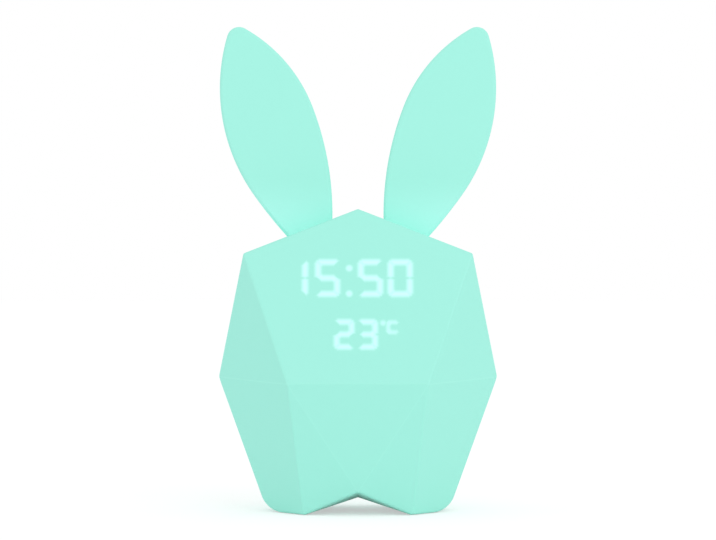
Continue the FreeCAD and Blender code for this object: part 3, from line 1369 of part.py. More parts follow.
def make_speaker_lead():
    """From the speaker's tab, past the charging board's rail, to the main board."""
    back = sizes.wall + sizes.gasket_thick + sizes.speaker_rim + sizes.speaker_bowl
    y = -back + 1.5 * sizes.basket_skin
    u = sizes.speaker_radius - sizes.tab_short
    x = -sizes.tab_width / 4
    beside = -(sizes.power_width / 2 + sizes.rail_thick + sizes.lead_run)
    board_z = sizes.inlet_level - sizes.inlet_tall / 2
    ends = plug_ends("speaker")
    tube("speaker_lead", [
        lower_point(x, y, u),
        lower_point(x, y, u + sizes.lead_run),
        Vector(beside, ends[1].y, board_z - 2 * sizes.lead_run),
        Vector(beside, ends[0].y, board_z + 2 * sizes.lead_run),
    ] + ends)


make_display_lead()
make_power_leads()
make_light_lead()
make_speaker_lead()


# Checks, then one file for each piece
doc.recompute()
for item in doc.Objects:
    if "Invalid" in item.State or "Error" in item.State:
        raise RuntimeError(f"{item.Name} failed: {item.State}")
for item in SUBPARTS:
    if item.Shape.isNull() or not item.Shape.isValid():
        raise RuntimeError(f"{item.Label} has no valid shape")
os.makedirs("parts", exist_ok=True)
for item in SUBPARTS:
    item.Shape.exportStep(f"parts/{item.Label}.step")
    print(item.Label, len(item.Shape.Solids), round(item.Shape.Volume, 1))
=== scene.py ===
# %% [markdown]
# A small bedside clock with ears stands on a white table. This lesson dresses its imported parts.
# The parts come in at their real size and place, so the lesson only adds finishes, small modelled
# pieces, a stage, lights and a camera.

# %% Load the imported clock
import math

import bpy
from mathutils import Matrix, Vector


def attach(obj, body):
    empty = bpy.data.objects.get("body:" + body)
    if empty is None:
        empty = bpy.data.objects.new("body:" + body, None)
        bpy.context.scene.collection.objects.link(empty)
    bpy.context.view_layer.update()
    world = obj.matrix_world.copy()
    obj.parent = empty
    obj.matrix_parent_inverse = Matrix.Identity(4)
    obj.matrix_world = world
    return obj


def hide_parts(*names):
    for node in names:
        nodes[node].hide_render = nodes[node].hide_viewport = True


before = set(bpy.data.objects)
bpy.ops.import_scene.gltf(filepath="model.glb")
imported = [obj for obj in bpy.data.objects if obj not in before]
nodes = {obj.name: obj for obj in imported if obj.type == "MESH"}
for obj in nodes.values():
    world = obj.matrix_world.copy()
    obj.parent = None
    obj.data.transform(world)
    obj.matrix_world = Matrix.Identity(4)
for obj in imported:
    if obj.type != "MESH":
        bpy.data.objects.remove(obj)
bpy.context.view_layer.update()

MM = 0.001
print("pieces from the packed clock:", len(nodes))

# %% [markdown]
# The front and rear panels lean inward by the same angle. Pieces on them are easier to place in a
# frame of their own: x runs across, u runs up the panel, and depth runs square to it.

# %% Panel frames
LEAN = math.radians(16.4)
PANEL_DEPTH = 26.8 * MM
PANEL_LEVEL = 85.0 * MM
COS, SIN = math.cos(LEAN), math.sin(LEAN)


def on_rear_panel():
    """The matrix from the rear panel's frame, its z outward and y up the panel, to the clock's."""
    axes = Matrix(((-1, 0, 0), (0, -SIN, COS), (0, COS, SIN)))
    return Matrix.Translation((0, PANEL_DEPTH, PANEL_LEVEL)) @ axes.to_4x4()


print("rear panel frame ready, lean in degrees:", round(math.degrees(LEAN), 1))

# %% [markdown]
# Photographs state colours as display values. The shader works in linear light, so one helper
# turns a display colour from 0 to 255 into linear numbers.


# %% Colours
def linear(*display):
    """A display colour in 0 to 255 as linear red, green, blue and a full alpha."""
    shares = [value / 255 for value in display]
    return [s / 12.92 if s <= 0.04045 else ((s + 0.055) / 1.055) ** 2.4 for s in shares] + [1.0]


print("mint in linear light:", [round(c, 3) for c in linear(165, 243, 227)])

# %% [markdown]
# Node trees are quicker to read when each node takes one line. These helpers add a node, set its
# constants and join its sockets. A shader group is built once and then placed in many materials.


# %% Node helpers
def plug(tree, socket, value):
    """Links a socket to an output, or sets its constant."""
    if isinstance(value, bpy.types.NodeSocket):
        tree.links.new(value, socket)
    else:
        socket.default_value = value


def add_node(tree, kind, settings=(), **inputs):
    """Adds a node, applies its settings, and fills its named inputs."""
    node = tree.nodes.new(kind)
    for name, value in dict(settings).items():
        setattr(node, name, value)
    for name, value in inputs.items():
        plug(tree, node.inputs[name.replace("_", " ")], value)
    return node


def maths(tree, operation, *values):
    """One arithmetic node and its result."""
    node = tree.nodes.new("ShaderNodeMath")
    node.operation = operation
    for socket, value in zip(node.inputs, values):
        plug(tree, socket, value)
    return node.outputs[0]


def chain(tree, operation, values):
    """Folds many values into one, such as the largest of all of them."""
    total = values[0]
    for value in values[1:]:
        total = maths(tree, operation, total, value)
    return total


def soft_step(tree, value, start, end):
    """Runs smoothly from 0 at start to 1 at end."""
    node = add_node(tree, "ShaderNodeMapRange", {"interpolation_type": "SMOOTHSTEP"})
    for name, number in (("Value", value), ("From Min", start), ("From Max", end)):
        plug(tree, node.inputs[name], number)
    return node.outputs["Result"]


def mix_colours(tree, share, one, other):
    node = add_node(tree, "ShaderNodeMix", {"data_type": "RGBA"})
    sockets = (node.inputs["Factor"], node.inputs[6], node.inputs[7])
    for socket, value in zip(sockets, (share, one, other)):
        plug(tree, socket, value)
    return node.outputs[2]


def new_group(name, inputs, outputs):
    """A shader group with named sockets, and its inner ends."""
    tree = bpy.data.node_groups.new(name, "ShaderNodeTree")
    for label, kind, default in inputs:
        socket = tree.interface.new_socket(label, in_out="INPUT", socket_type=f"NodeSocket{kind}")
        socket.default_value = default
    for label, kind in outputs:
        tree.interface.new_socket(label, in_out="OUTPUT", socket_type=f"NodeSocket{kind}")
    return tree, tree.nodes.new("NodeGroupInput").outputs, tree.nodes.new("NodeGroupOutput").inputs


def place_group(tree, group, **inputs):
    node = tree.nodes.new("ShaderNodeGroup")
    node.node_tree = group
    for name, value in inputs.items():
        plug(tree, node.inputs[name.replace("_", " ")], value)
    return node.outputs


print("node helpers ready")

# %% [markdown]
# Moulded plastic is never one flat colour. The tool that shapes it is spark-eroded, which leaves a
# fine even grain, and the colour drifts a little over the piece. One group gives all plastics and
# rubbers that grain, each with its own size and strength.

# %% The grain of moulded pieces
grain_group, grain_in, grain_out = new_group(
    "moulded grain",
    [
        ("Colour", "Color", (0.8, 0.8, 0.8, 1)),
        ("Drift", "Float", 0.02),
        ("Roughness", "Float", 0.5),
        ("Spread", "Float", 0.06),
        ("Grain", "Float", 2500.0),
    ],
    [("Colour", "Color"), ("Roughness", "Float"), ("Height", "Float")],
)


def build_grain(tree, given, result):
    place = add_node(tree, "ShaderNodeTexCoord").outputs["Object"]
    fine = add_node(tree, "ShaderNodeTexNoise", Vector=place, Scale=given["Grain"], Detail=2.0)
    broad = add_node(tree, "ShaderNodeTexNoise", Vector=place, Scale=22.0, Detail=3.0)
    lift = maths(tree, "SUBTRACT", broad.outputs["Fac"], 0.5)
    brightness = maths(tree, "MULTIPLY_ADD", lift, given["Drift"], 1.0)
    tint = add_node(tree, "ShaderNodeVectorMath", {"operation": "SCALE"}, Scale=brightness)
    plug(tree, tint.inputs[0], given["Colour"])
    plug(tree, result["Colour"], tint.outputs[0])
    wave = maths(tree, "SUBTRACT", fine.outputs["Fac"], 0.5)
    rough = maths(tree, "MULTIPLY_ADD", wave, given["Spread"], given["Roughness"])
    plug(tree, result["Roughness"], rough)
    plug(tree, result["Height"], fine.outputs["Fac"])


build_grain(grain_group, grain_in, grain_out)
print("grain group nodes:", len(grain_group.nodes))

# %% [markdown]
# Turned and rolled metal shows hair-fine lines along one way. The group stretches noise along an
# axis, so that the same lines serve the screws, the inlet and the magnet.

# %% The lines of worked metal
brushed_group, brushed_in, brushed_out = new_group(
    "brushed lines",
    [("Stretch", "Vector", (1.0, 1.0, 1.0)), ("Roughness", "Float", 0.3), ("Spread", "Float", 0.2)],
    [("Roughness", "Float"), ("Height", "Float")],
)


def build_brushed(tree, given, result):
    place = add_node(tree, "ShaderNodeTexCoord").outputs["Object"]
    drawn = add_node(tree, "ShaderNodeVectorMath", {"operation": "MULTIPLY"})
    plug(tree, drawn.inputs[0], place)
    plug(tree, drawn.inputs[1], given["Stretch"])
    lines = add_node(tree, "ShaderNodeTexNoise", Vector=drawn.outputs[0], Scale=900.0, Detail=4.0)
    wave = maths(tree, "SUBTRACT", lines.outputs["Fac"], 0.5)
    plug(tree, result["Roughness"], maths(tree, "MULTIPLY_ADD", wave, given["Spread"], given["Roughness"]))
    plug(tree, result["Height"], lines.outputs["Fac"])


build_brushed(brushed_group, brushed_in, brushed_out)
print("brushed group nodes:", len(brushed_group.nodes))

# %% [markdown]
# The time and the temperature are dim lights behind the thin front wall. The wall spreads them, so
# each stroke has a soft edge. A stroke is drawn by its distance to the edges of a digit's cell:
# one group draws all seven strokes, and seven numbers say which of them are lit.

# %% One digit of seven strokes
HALF_DIAGONAL = 0.707
STROKE_NAMES = ("top", "upper right", "lower right", "bottom", "lower left", "upper left", "middle")
digit_group, digit_in, digit_out = new_group(
    "seven stroke digit",
    [
        ("Across", "Float", 0.0),
        ("Up", "Float", 0.0),
        ("Width", "Float", 10.0 * MM),
        ("Tall", "Float", 15.7 * MM),
        ("Stroke", "Float", 2.2 * MM),
        ("Corner", "Float", 1.6 * MM),
        ("Blur", "Float", 1.15 * MM),
        ("Gap", "Float", 0.25 * MM),
    ]
    + [(name, "Float", 0.0) for name in STROKE_NAMES],
    [("Light", "Float")],
)


def build_digit(tree, given, result):
    """Draws the strokes by how far a point is from the cell's side and from its top or bottom."""
    stroke, across, up = given["Stroke"], given["Across"], given["Up"]

    def inside(size, offset):
        """How far a point lies inside a cell's edge."""
        return maths(tree, "MULTIPLY_ADD", size, 0.5, maths(tree, "MULTIPLY", offset, -1.0))

    side_reach = inside(given["Width"], maths(tree, "ABSOLUTE", across))
    height = maths(tree, "ABSOLUTE", up)
    top_reach = inside(given["Tall"], height)
    past_corner = maths(tree, "SUBTRACT", given["Corner"], maths(tree, "ADD", side_reach, top_reach))
    corner = maths(tree, "MULTIPLY", past_corner, HALF_DIAGONAL)

    def distance(*limits):
        return chain(tree, "MAXIMUM", list(limits) + [corner])

    def outside(reach):
        return maths(tree, "MULTIPLY", reach, -1.0), maths(tree, "SUBTRACT", reach, stroke)

    def past_middle(reach):
        """How far a point lies past the middle line of a stroke."""
        return maths(tree, "MULTIPLY_ADD", stroke, -0.5, reach)

    def past_mitre(reach, other):
        """How far a point lies past the slanted end where a stroke meets the next."""
        return maths(tree, "ADD", maths(tree, "SUBTRACT", reach, other), given["Gap"])

    slant = maths(tree, "MULTIPLY", maths(tree, "ABSOLUTE", past_middle(side_reach)), 0.5)
    upright = distance(*outside(side_reach), past_mitre(side_reach, top_reach), past_mitre(slant, height))
    level = distance(*outside(top_reach), past_mitre(top_reach, side_reach))
    middle = distance(past_middle(height), past_mitre(height, past_middle(side_reach)))

    def lit(shape, flag):
        edge = maths(tree, "MULTIPLY", given["Blur"], -1.0)
        return maths(tree, "MULTIPLY", soft_step(tree, shape, given["Blur"], edge), flag)

    def either(test, one, other):
        """Picks one flag where the test is 1, and the other where it is 0."""
        return maths(tree, "MULTIPLY_ADD", test, maths(tree, "SUBTRACT", one, other), other)

    right = maths(tree, "GREATER_THAN", across, 0.0)
    above = maths(tree, "GREATER_THAN", up, 0.0)
    right_flag = either(above, given["upper right"], given["lower right"])
    left_flag = either(above, given["upper left"], given["lower left"])
    strokes = [
        lit(upright, either(right, right_flag, left_flag)),
        lit(level, either(above, given["top"], given["bottom"])),
        lit(middle, given["middle"]),
    ]
    plug(tree, result["Light"], maths(tree, "MINIMUM", chain(tree, "ADD", strokes), 1.0))


build_digit(digit_group, digit_in, digit_out)
print("digit group nodes:", len(digit_group.nodes))

# %% [markdown]
# The body is cut in flat facets whose edges are slightly round and polished by handling, so they
# are a little less rough. A paler mint is painted along each edge line, a painted highlight that
# stands for the light the round edges catch. The same quarter of the body repeats four times, so
# the group folds the place to one quarter and measures how far it is from each edge line.

# %% Painted highlight on the facet edges
CROWN = (0.0, -15.0, 125.1)
SHOULDER = (46.9, -20.4, 106.8)
WAIST = (57.9, 0.0, 55.5)
BELT = (28.6, -36.0, 53.75)
NOTCH = (0.0, -29.5, 9.7)
EDGE_LINES = ((CROWN, SHOULDER), (SHOULDER, WAIST), (SHOULDER, BELT), (WAIST, BELT), (BELT, NOTCH))
edge_group, edge_in, edge_out = new_group("facet edges", [("Reach", "Float", 0.45 * MM)], [("Edge", "Float")])


def build_edges(tree, given, result):
    place = add_node(tree, "ShaderNodeTexCoord").outputs["Object"]
    parts = add_node(tree, "ShaderNodeSeparateXYZ", Vector=place).outputs
    folded = add_node(tree, "ShaderNodeCombineXYZ", Z=parts["Z"])
    plug(tree, folded.inputs["X"], maths(tree, "ABSOLUTE", parts["X"]))
    plug(tree, folded.inputs["Y"], maths(tree, "MULTIPLY", maths(tree, "ABSOLUTE", parts["Y"]), -1.0))
    nearest = []
    for start, end in EDGE_LINES:
        start, end = Vector(start) * MM, Vector(end) * MM
        way = (end - start).normalized()
        offset = add_node(tree, "ShaderNodeVectorMath", {"operation": "SUBTRACT"})
        plug(tree, offset.inputs[0], folded.outputs[0])
        plug(tree, offset.inputs[1], start)
        sweep = add_node(tree, "ShaderNodeVectorMath", {"operation": "CROSS_PRODUCT"})
        plug(tree, sweep.inputs[0], offset.outputs[0])
        plug(tree, sweep.inputs[1], way)
        length = add_node(tree, "ShaderNodeVectorMath", {"operation": "LENGTH"})
        plug(tree, length.inputs[0], sweep.outputs[0])
        nearest.append(length.outputs["Value"])
    plug(tree, result["Edge"], soft_step(tree, chain(tree, "MINIMUM", nearest), given["Reach"], 0.0))


build_edges(edge_group, edge_in, edge_out)
print("edge lines:", len(EDGE_LINES))


# %% [markdown]
# Every finish starts the same way: a Principled shader in its own material. Most finishes get their
# colour and roughness from the grain group, and each piece of the clock gets a fine bump.

# %% Plain moulded finishes
def new_material(name):
    material = bpy.data.materials.new(name)
    material.use_nodes = True
    return material, material.node_tree, material.node_tree.nodes["Principled BSDF"]


def add_grain(tree, shader, colour, drift, roughness, spread, grain):
    """Feeds a shader's colour and roughness from the grain group, and returns the grain's height."""
    values = {"Colour": colour, "Drift": drift, "Roughness": roughness, "Spread": spread, "Grain": grain}
    result = place_group(tree, grain_group, **values)
    plug(tree, shader.inputs["Base Color"], result["Colour"])
    plug(tree, shader.inputs["Roughness"], result["Roughness"])
    return result["Height"]


def add_bump(tree, shader, height, depth, strength):
    """Raises a surface by a height, whose depth is in millimetres."""
    bump = add_node(tree, "ShaderNodeBump", Height=height, Distance=depth * MM, Strength=strength)
    plug(tree, shader.inputs["Normal"], bump.outputs["Normal"])


def moulded(name, colour, roughness, grain=2500.0, depth=0.012):
    """A plastic or rubber: a colour that drifts, and a fine spark-eroded grain."""
    material, tree, shader = new_material(name)
    height = add_grain(tree, shader, linear(*colour), 0.03, roughness, 0.08, grain)
    add_bump(tree, shader, height, depth, 0.35)
    return material


def worked_metal(name, colour, stretch, roughness=0.3):
    """A metal with fine lines along the axis whose stretch is small."""
    material, tree, shader = new_material(name)
    shader.inputs["Base Color"].default_value = linear(*colour)
    shader.inputs["Metallic"].default_value = 1.0
    result = place_group(tree, brushed_group, Stretch=stretch, Roughness=roughness, Spread=0.25)
    plug(tree, shader.inputs["Roughness"], result["Roughness"])
    add_bump(tree, shader, result["Height"], 0.01, 0.3)
    return material


finishes = {
    "pad_rubber": moulded("pad rubber", (176, 214, 205), 0.75, grain=1800.0),
    "white_plastic": moulded("white plastic", (236, 238, 234), 0.45),
    "key_white": moulded("key white", (243, 246, 243), 0.38, grain=3200.0, depth=0.006),
    "milky_film": moulded("milky film", (232, 240, 240), 0.3, depth=0.004),
    "black_plastic": moulded("black plastic", (26, 27, 29), 0.5),
    "switch_pin": moulded("switch pin", (58, 60, 64), 0.42),
    "led": moulded("light chip", (250, 244, 206), 0.25, depth=0.004),
    "connector": moulded("connector", (240, 236, 222), 0.42),
    "sensor": moulded("sensor bead", (34, 52, 88), 0.3, depth=0.004),
    "lead_skin": moulded("lead skin", (214, 60, 52), 0.4, depth=0.004),
    "steel": worked_metal("steel", (198, 200, 204), (1.0, 0.06, 1.0)),
    "magnet": worked_metal("magnet", (120, 124, 130), (1.0, 0.1, 1.0), 0.38),
}
print("finishes so far:", sorted(finishes))

# %% [markdown]
# The shells are mint plastic. The front one also shows the lit digits. Its material reads the
# place on the front panel, draws each digit there and adds the light as emission. The light stays
# within a thin layer at the panel, so nothing inside the clock glows by mistake. Places and sizes of
# the signs are in millimetres on the panel.

# %% The mint shells
SHELL_MINT = (160, 237, 221)
# The second mint is a painted highlight along the facet edges.
EDGE_HIGHLIGHT_MINT = (176, 250, 236)
DIGIT_LIGHT = (0.275, 0.215, 0.32, 1.0)
DIGITS = {"0": "abcdef", "1": "bc", "2": "abged", "3": "abgcd", "5": "afgcd", "C": "afed"}
TIME_CELLS = (("1", -25.5), ("5", -12.4), ("5", 5.1), ("0", 17.25))
DEGREE_CELLS = (("2", -5.6), ("3", 3.9))
TIME_UP, DEGREE_UP = 12.2, -11.6
DEGREE_SIZES = {"Width": 8.1, "Tall": 12.5, "Stroke": 2.0, "Corner": 1.5}
UNIT_PLACE = (14.15, -8.6)
UNIT_SIZES = {"Width": 5.3, "Tall": 5.8, "Stroke": 1.6, "Corner": 1.4, "Blur": 0.9, "Gap": -0.6}
DEGREE_DOT = (10.2, -6.8, 2.2)
COLON_DOTS = ((-3.6, 16.4, 2.5), (-3.6, 5.6, 2.5))
COLON_SHARE, UNIT_SHARE = 0.85, 0.66
DOT_BLUR = 0.85
GLOW_DEPTH = 0.4 * MM
EDGE_HIGHLIGHT_SHARE = 0.16
SHELL_ROUGHNESS, EDGE_POLISH = 0.55, 0.12


def panel_place(tree):
    """The place on the front panel: across, up and depth behind its face."""
    place = add_node(tree, "ShaderNodeTexCoord").outputs["Object"]
    parts = add_node(tree, "ShaderNodeSeparateXYZ", Vector=place).outputs
    y = maths(tree, "ADD", parts["Y"], PANEL_DEPTH)
    z = maths(tree, "SUBTRACT", parts["Z"], PANEL_LEVEL)
    up = maths(tree, "MULTIPLY_ADD", y, SIN, maths(tree, "MULTIPLY", z, COS))
    depth = maths(tree, "MULTIPLY_ADD", y, COS, maths(tree, "MULTIPLY", z, -SIN))
    return parts["X"], up, depth


def digit(tree, across, up, sign, x, u, **sizes):
    lit = {name: float(letter in DIGITS[sign]) for name, letter in zip(STROKE_NAMES, "abcdefg")}
    node = tree.nodes.new("ShaderNodeGroup")
    node.node_tree = digit_group
    plug(tree, node.inputs["Across"], maths(tree, "SUBTRACT", across, x * MM))
    plug(tree, node.inputs["Up"], maths(tree, "SUBTRACT", up, u * MM))
    for name, value in {**lit, **{key: number * MM for key, number in sizes.items()}}.items():
        node.inputs[name].default_value = value
    return node.outputs["Light"]


def dot(tree, across, up, x, u, size):
    """A round dot with a soft rim."""
    offsets = [maths(tree, "SUBTRACT", place, middle * MM) for place, middle in ((across, x), (up, u))]
    squares = [maths(tree, "MULTIPLY", offset, offset) for offset in offsets]
    reach = maths(tree, "SQRT", maths(tree, "ADD", *squares))
    return soft_step(tree, reach, (size / 2 + DOT_BLUR) * MM, (size / 2 - DOT_BLUR) * MM)


def lit_digits(tree):
    across, up, depth = panel_place(tree)
    lights = [digit(tree, across, up, sign, x, TIME_UP) for sign, x in TIME_CELLS]
    lights += [digit(tree, across, up, sign, x, DEGREE_UP, **DEGREE_SIZES) for sign, x in DEGREE_CELLS]
    colon = [dot(tree, across, up, *spot) for spot in COLON_DOTS]
    lights += [maths(tree, "MULTIPLY", spot, COLON_SHARE) for spot in colon]
    unit = digit(tree, across, up, "C", *UNIT_PLACE, **UNIT_SIZES)
    unit = maths(tree, "MAXIMUM", unit, dot(tree, across, up, *DEGREE_DOT))
    lights.append(maths(tree, "MULTIPLY", unit, UNIT_SHARE))
    near = maths(tree, "LESS_THAN", maths(tree, "ABSOLUTE", depth), GLOW_DEPTH)
    return maths(tree, "MULTIPLY", chain(tree, "MAXIMUM", lights), near)


def mint_shell(name, shows_time):
    material, tree, shader = new_material(name)
    edge = place_group(tree, edge_group)["Edge"]
    # A paler mint is painted along the facet edges as a highlight, and the edges are also less rough.
    painted_highlight = maths(tree, "MULTIPLY", edge, EDGE_HIGHLIGHT_SHARE)
    colour = mix_colours(tree, painted_highlight, linear(*SHELL_MINT), linear(*EDGE_HIGHLIGHT_MINT))
    worn = maths(tree, "MULTIPLY_ADD", edge, -EDGE_POLISH, SHELL_ROUGHNESS)
    height = add_grain(tree, shader, colour, drift=0.02, roughness=worn, spread=0.06, grain=2600.0)
    add_bump(tree, shader, height, 0.01, 0.3)
    if shows_time:
        glow = mix_colours(tree, lit_digits(tree), (0, 0, 0, 1), DIGIT_LIGHT)
        plug(tree, shader.inputs["Emission Color"], glow)
        shader.inputs["Emission Strength"].default_value = 1.0
    return material


front_mint = mint_shell("mint shell with the time", True)
rear_mint = mint_shell("mint shell", False)
finishes["mint_shell"] = rear_mint
print("front material nodes:", len(front_mint.node_tree.nodes))

# %% [markdown]
# The ears are soft silicone of nearly the same mint. Silicone is more matt than the shell. Near
# their roots a brighter mint is painted in, a painted light that stands for the light the roof
# throws back at them.

# %% Silicone ears
EAR_MINT = (162, 239, 223)
# The root mint is a painted light near the roots of the ears.
EAR_ROOT_LIGHT_MINT = (180, 252, 241)
ROOT_LIGHT_FROM, ROOT_LIGHT_AT = 140.0 * MM, 113.0 * MM


def silicone_ears():
    material, tree, shader = new_material("soft mint silicone")
    place = add_node(tree, "ShaderNodeTexCoord").outputs["Object"]
    level = add_node(tree, "ShaderNodeSeparateXYZ", Vector=place).outputs["Z"]
    # Painted light: the colour turns a brighter mint towards the roots.
    painted_root_light = soft_step(tree, level, ROOT_LIGHT_FROM, ROOT_LIGHT_AT)
    colour = mix_colours(tree, painted_root_light, linear(*EAR_MINT), linear(*EAR_ROOT_LIGHT_MINT))
    height = add_grain(tree, shader, colour, drift=0.02, roughness=0.68, spread=0.05, grain=1500.0)
    add_bump(tree, shader, height, 0.012, 0.25)
    return material


finishes["soft_mint"] = silicone_ears()
print("ear colour:", EAR_MINT)

# %% [markdown]
# The circuit boards carry copper lines under a coat of lacquer. A brick pattern of thin joints
# stands for the lines, and the coat makes the board glossy.


# %% Circuit boards
def lacquered_board(name, base, line):
    material, tree, shader = new_material(name)
    place = add_node(tree, "ShaderNodeTexCoord").outputs["Object"]
    turned = add_node(tree, "ShaderNodeMapping", Vector=place)
    turned.inputs["Rotation"].default_value = (math.radians(90), 0.0, 0.0)
    tracks = add_node(tree, "ShaderNodeTexBrick", Vector=turned.outputs[0], Scale=240.0, Mortar_Size=0.012)
    for label, colour in (("Color1", base), ("Color2", base), ("Mortar", line)):
        tracks.inputs[label].default_value = linear(*colour)
    add_grain(tree, shader, tracks.outputs["Color"], drift=0.1, roughness=0.32, spread=0.1, grain=900.0)
    add_bump(tree, shader, tracks.outputs["Fac"], 0.02, 0.4)
    shader.inputs["Coat Weight"].default_value = 0.4
    return material


finishes["board"] = lacquered_board("white board", (226, 230, 224), (198, 204, 196))
finishes["board_green"] = lacquered_board("green board", (24, 92, 58), (44, 124, 78))
print("board finishes ready")

# %% [markdown]
# Foam shows open cells, paper shows fibres, and the cell is wrapped in thin foil. Voronoi cells and
# stretched noise are enough for them, since they hide inside the clock.


# %% Foam, paper and foil
def shaded(colour, share):
    """A display colour that keeps a share of its light."""
    return linear(*(value * share for value in colour))


def celled_foam(name, colour):
    material, tree, shader = new_material(name)
    place = add_node(tree, "ShaderNodeTexCoord").outputs["Object"]
    cells = add_node(tree, "ShaderNodeTexVoronoi", Vector=place, Scale=1800.0)
    shade = mix_colours(tree, cells.outputs["Distance"], linear(*colour), shaded(colour, 0.6))
    plug(tree, shader.inputs["Base Color"], shade)
    shader.inputs["Roughness"].default_value = 0.9
    add_bump(tree, shader, cells.outputs["Distance"], 0.08, 0.5)
    return material


def fibrous(name, colour, roughness, stretch, metallic=0.0):
    material, tree, shader = new_material(name)
    place = add_node(tree, "ShaderNodeTexCoord").outputs["Object"]
    drawn = add_node(tree, "ShaderNodeMapping", Vector=place)
    drawn.inputs["Scale"].default_value = stretch
    strands = add_node(tree, "ShaderNodeTexNoise", Vector=drawn.outputs[0], Scale=500.0, Detail=5.0)
    shade = mix_colours(tree, strands.outputs["Fac"], shaded(colour, 0.8), linear(*colour))
    plug(tree, shader.inputs["Base Color"], shade)
    shader.inputs["Roughness"].default_value = roughness
    shader.inputs["Metallic"].default_value = metallic
    add_bump(tree, shader, strands.outputs["Fac"], 0.05, 0.4)
    return material


finishes["foam"] = celled_foam("black foam", (44, 44, 46))
finishes["paper"] = fibrous("cone paper", (58, 54, 50), 0.85, (1.0, 1.0, 0.3))
finishes["cell"] = fibrous("cell foil", (196, 200, 206), 0.35, (0.2, 1.0, 1.0), 0.8)
print("finishes in all:", len(finishes))

# %% [markdown]
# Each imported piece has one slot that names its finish. The front shell is the only piece that
# shows the time, so it gets the mint material with the digits.

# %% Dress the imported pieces
for name, item in nodes.items():
    for slot in item.material_slots:
        slot.material = front_mint if name == "front_shell" else finishes[slot.material.name.split(".")[0]]
print("dressed", len(nodes), "packed pieces")

# %% [markdown]
# New pieces are modelled as by hand. The helpers deselect everything, enter edit mode, and pick
# faces or edges by their place, so that each operator acts only on what is meant.


# %% Modelling helpers
SMOOTH_ANGLE = math.radians(35)


def deselect_all():
    if bpy.context.object is not None and bpy.context.object.mode == "EDIT":
        bpy.ops.object.mode_set(mode="OBJECT")
    bpy.ops.object.select_all(action="DESELECT")


def start(operator, name, **size):
    """Adds a primitive under a piece's own name."""
    deselect_all()
    operator(**size)
    item = bpy.context.object
    item.name = name
    item.data.name = name
    return item


def pick(item, kind, test):
    """Leaves edit mode, selects the faces or edges whose middle passes a test, and enters it again."""
    bpy.ops.object.mode_set(mode="EDIT")
    bpy.ops.mesh.select_mode(type=kind)
    bpy.ops.mesh.select_all(action="DESELECT")
    bpy.ops.object.mode_set(mode="OBJECT")
    parts = item.data.polygons if kind == "FACE" else item.data.edges
    for part in parts:
        corners = [item.data.vertices[v].co for v in part.vertices]
        if test(sum(corners, Vector()) / len(corners), part):
            part.select = True
    bpy.ops.object.mode_set(mode="EDIT")


def finish_piece(item, place, body, material):
    """Puts a finished piece in its place, in its mesh, and lets it ride on its body."""
    deselect_all()
    item.data.transform(place @ item.matrix_world)
    item.matrix_world = Matrix.Identity(4)
    item.data.materials.clear()
    item.data.materials.append(material)
    item.select_set(True)
    bpy.context.view_layer.objects.active = item
    bpy.ops.object.shade_smooth_by_angle(angle=SMOOTH_ANGLE)
    deselect_all()
    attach(item, body)


def join_all(items):
    """Joins pieces into the first of them."""
    deselect_all()
    for item in items:
        item.select_set(True)
    bpy.context.view_layer.objects.active = items[0]
    bpy.ops.object.join()
    return items[0]


def copy_of(item, name):
    twin = item.copy()
    twin.data = item.data.copy()
    twin.name = name
    twin.data.name = name
    bpy.context.scene.collection.objects.link(twin)
    return twin


print("modelling helpers ready")

# %% [markdown]
# Four self-tapping screws close the case. From behind one looks down the wells at their heads, so
# they need a domed rim and a cross recess. One screw starts as a low cylinder: its top rim is
# bevelled, its underside is inset and extruded ring by ring into the thread, and two crossed
# blades are cut away with a Boolean modifier. The rest are copies.

# %% Case screws
HEAD_RADIUS, HEAD_TALL, HEAD_DOME = 2.8 * MM, 2.0 * MM, 0.9 * MM
SHANK_RADIUS, THREAD_RADIUS = 1.25 * MM, 1.5 * MM
SCREW_REACH, TIP_REACH = 17.0 * MM, 2.0 * MM
THREAD_TURNS, TIP_SHARE = 9, 0.25
RECESS_TAPER = (0.55, 0.8, 1)
RECESS_SIZE = (3.4 * MM, 0.75 * MM, 1.3 * MM)
RECESS_UP = HEAD_TALL - 0.2 * MM
SCREW_PLACES = ((-42.0, 79.0), (42.0, 79.0), (-29.0, 14.0), (29.0, 14.0))
SCREW_SEAT = 8.0 * MM


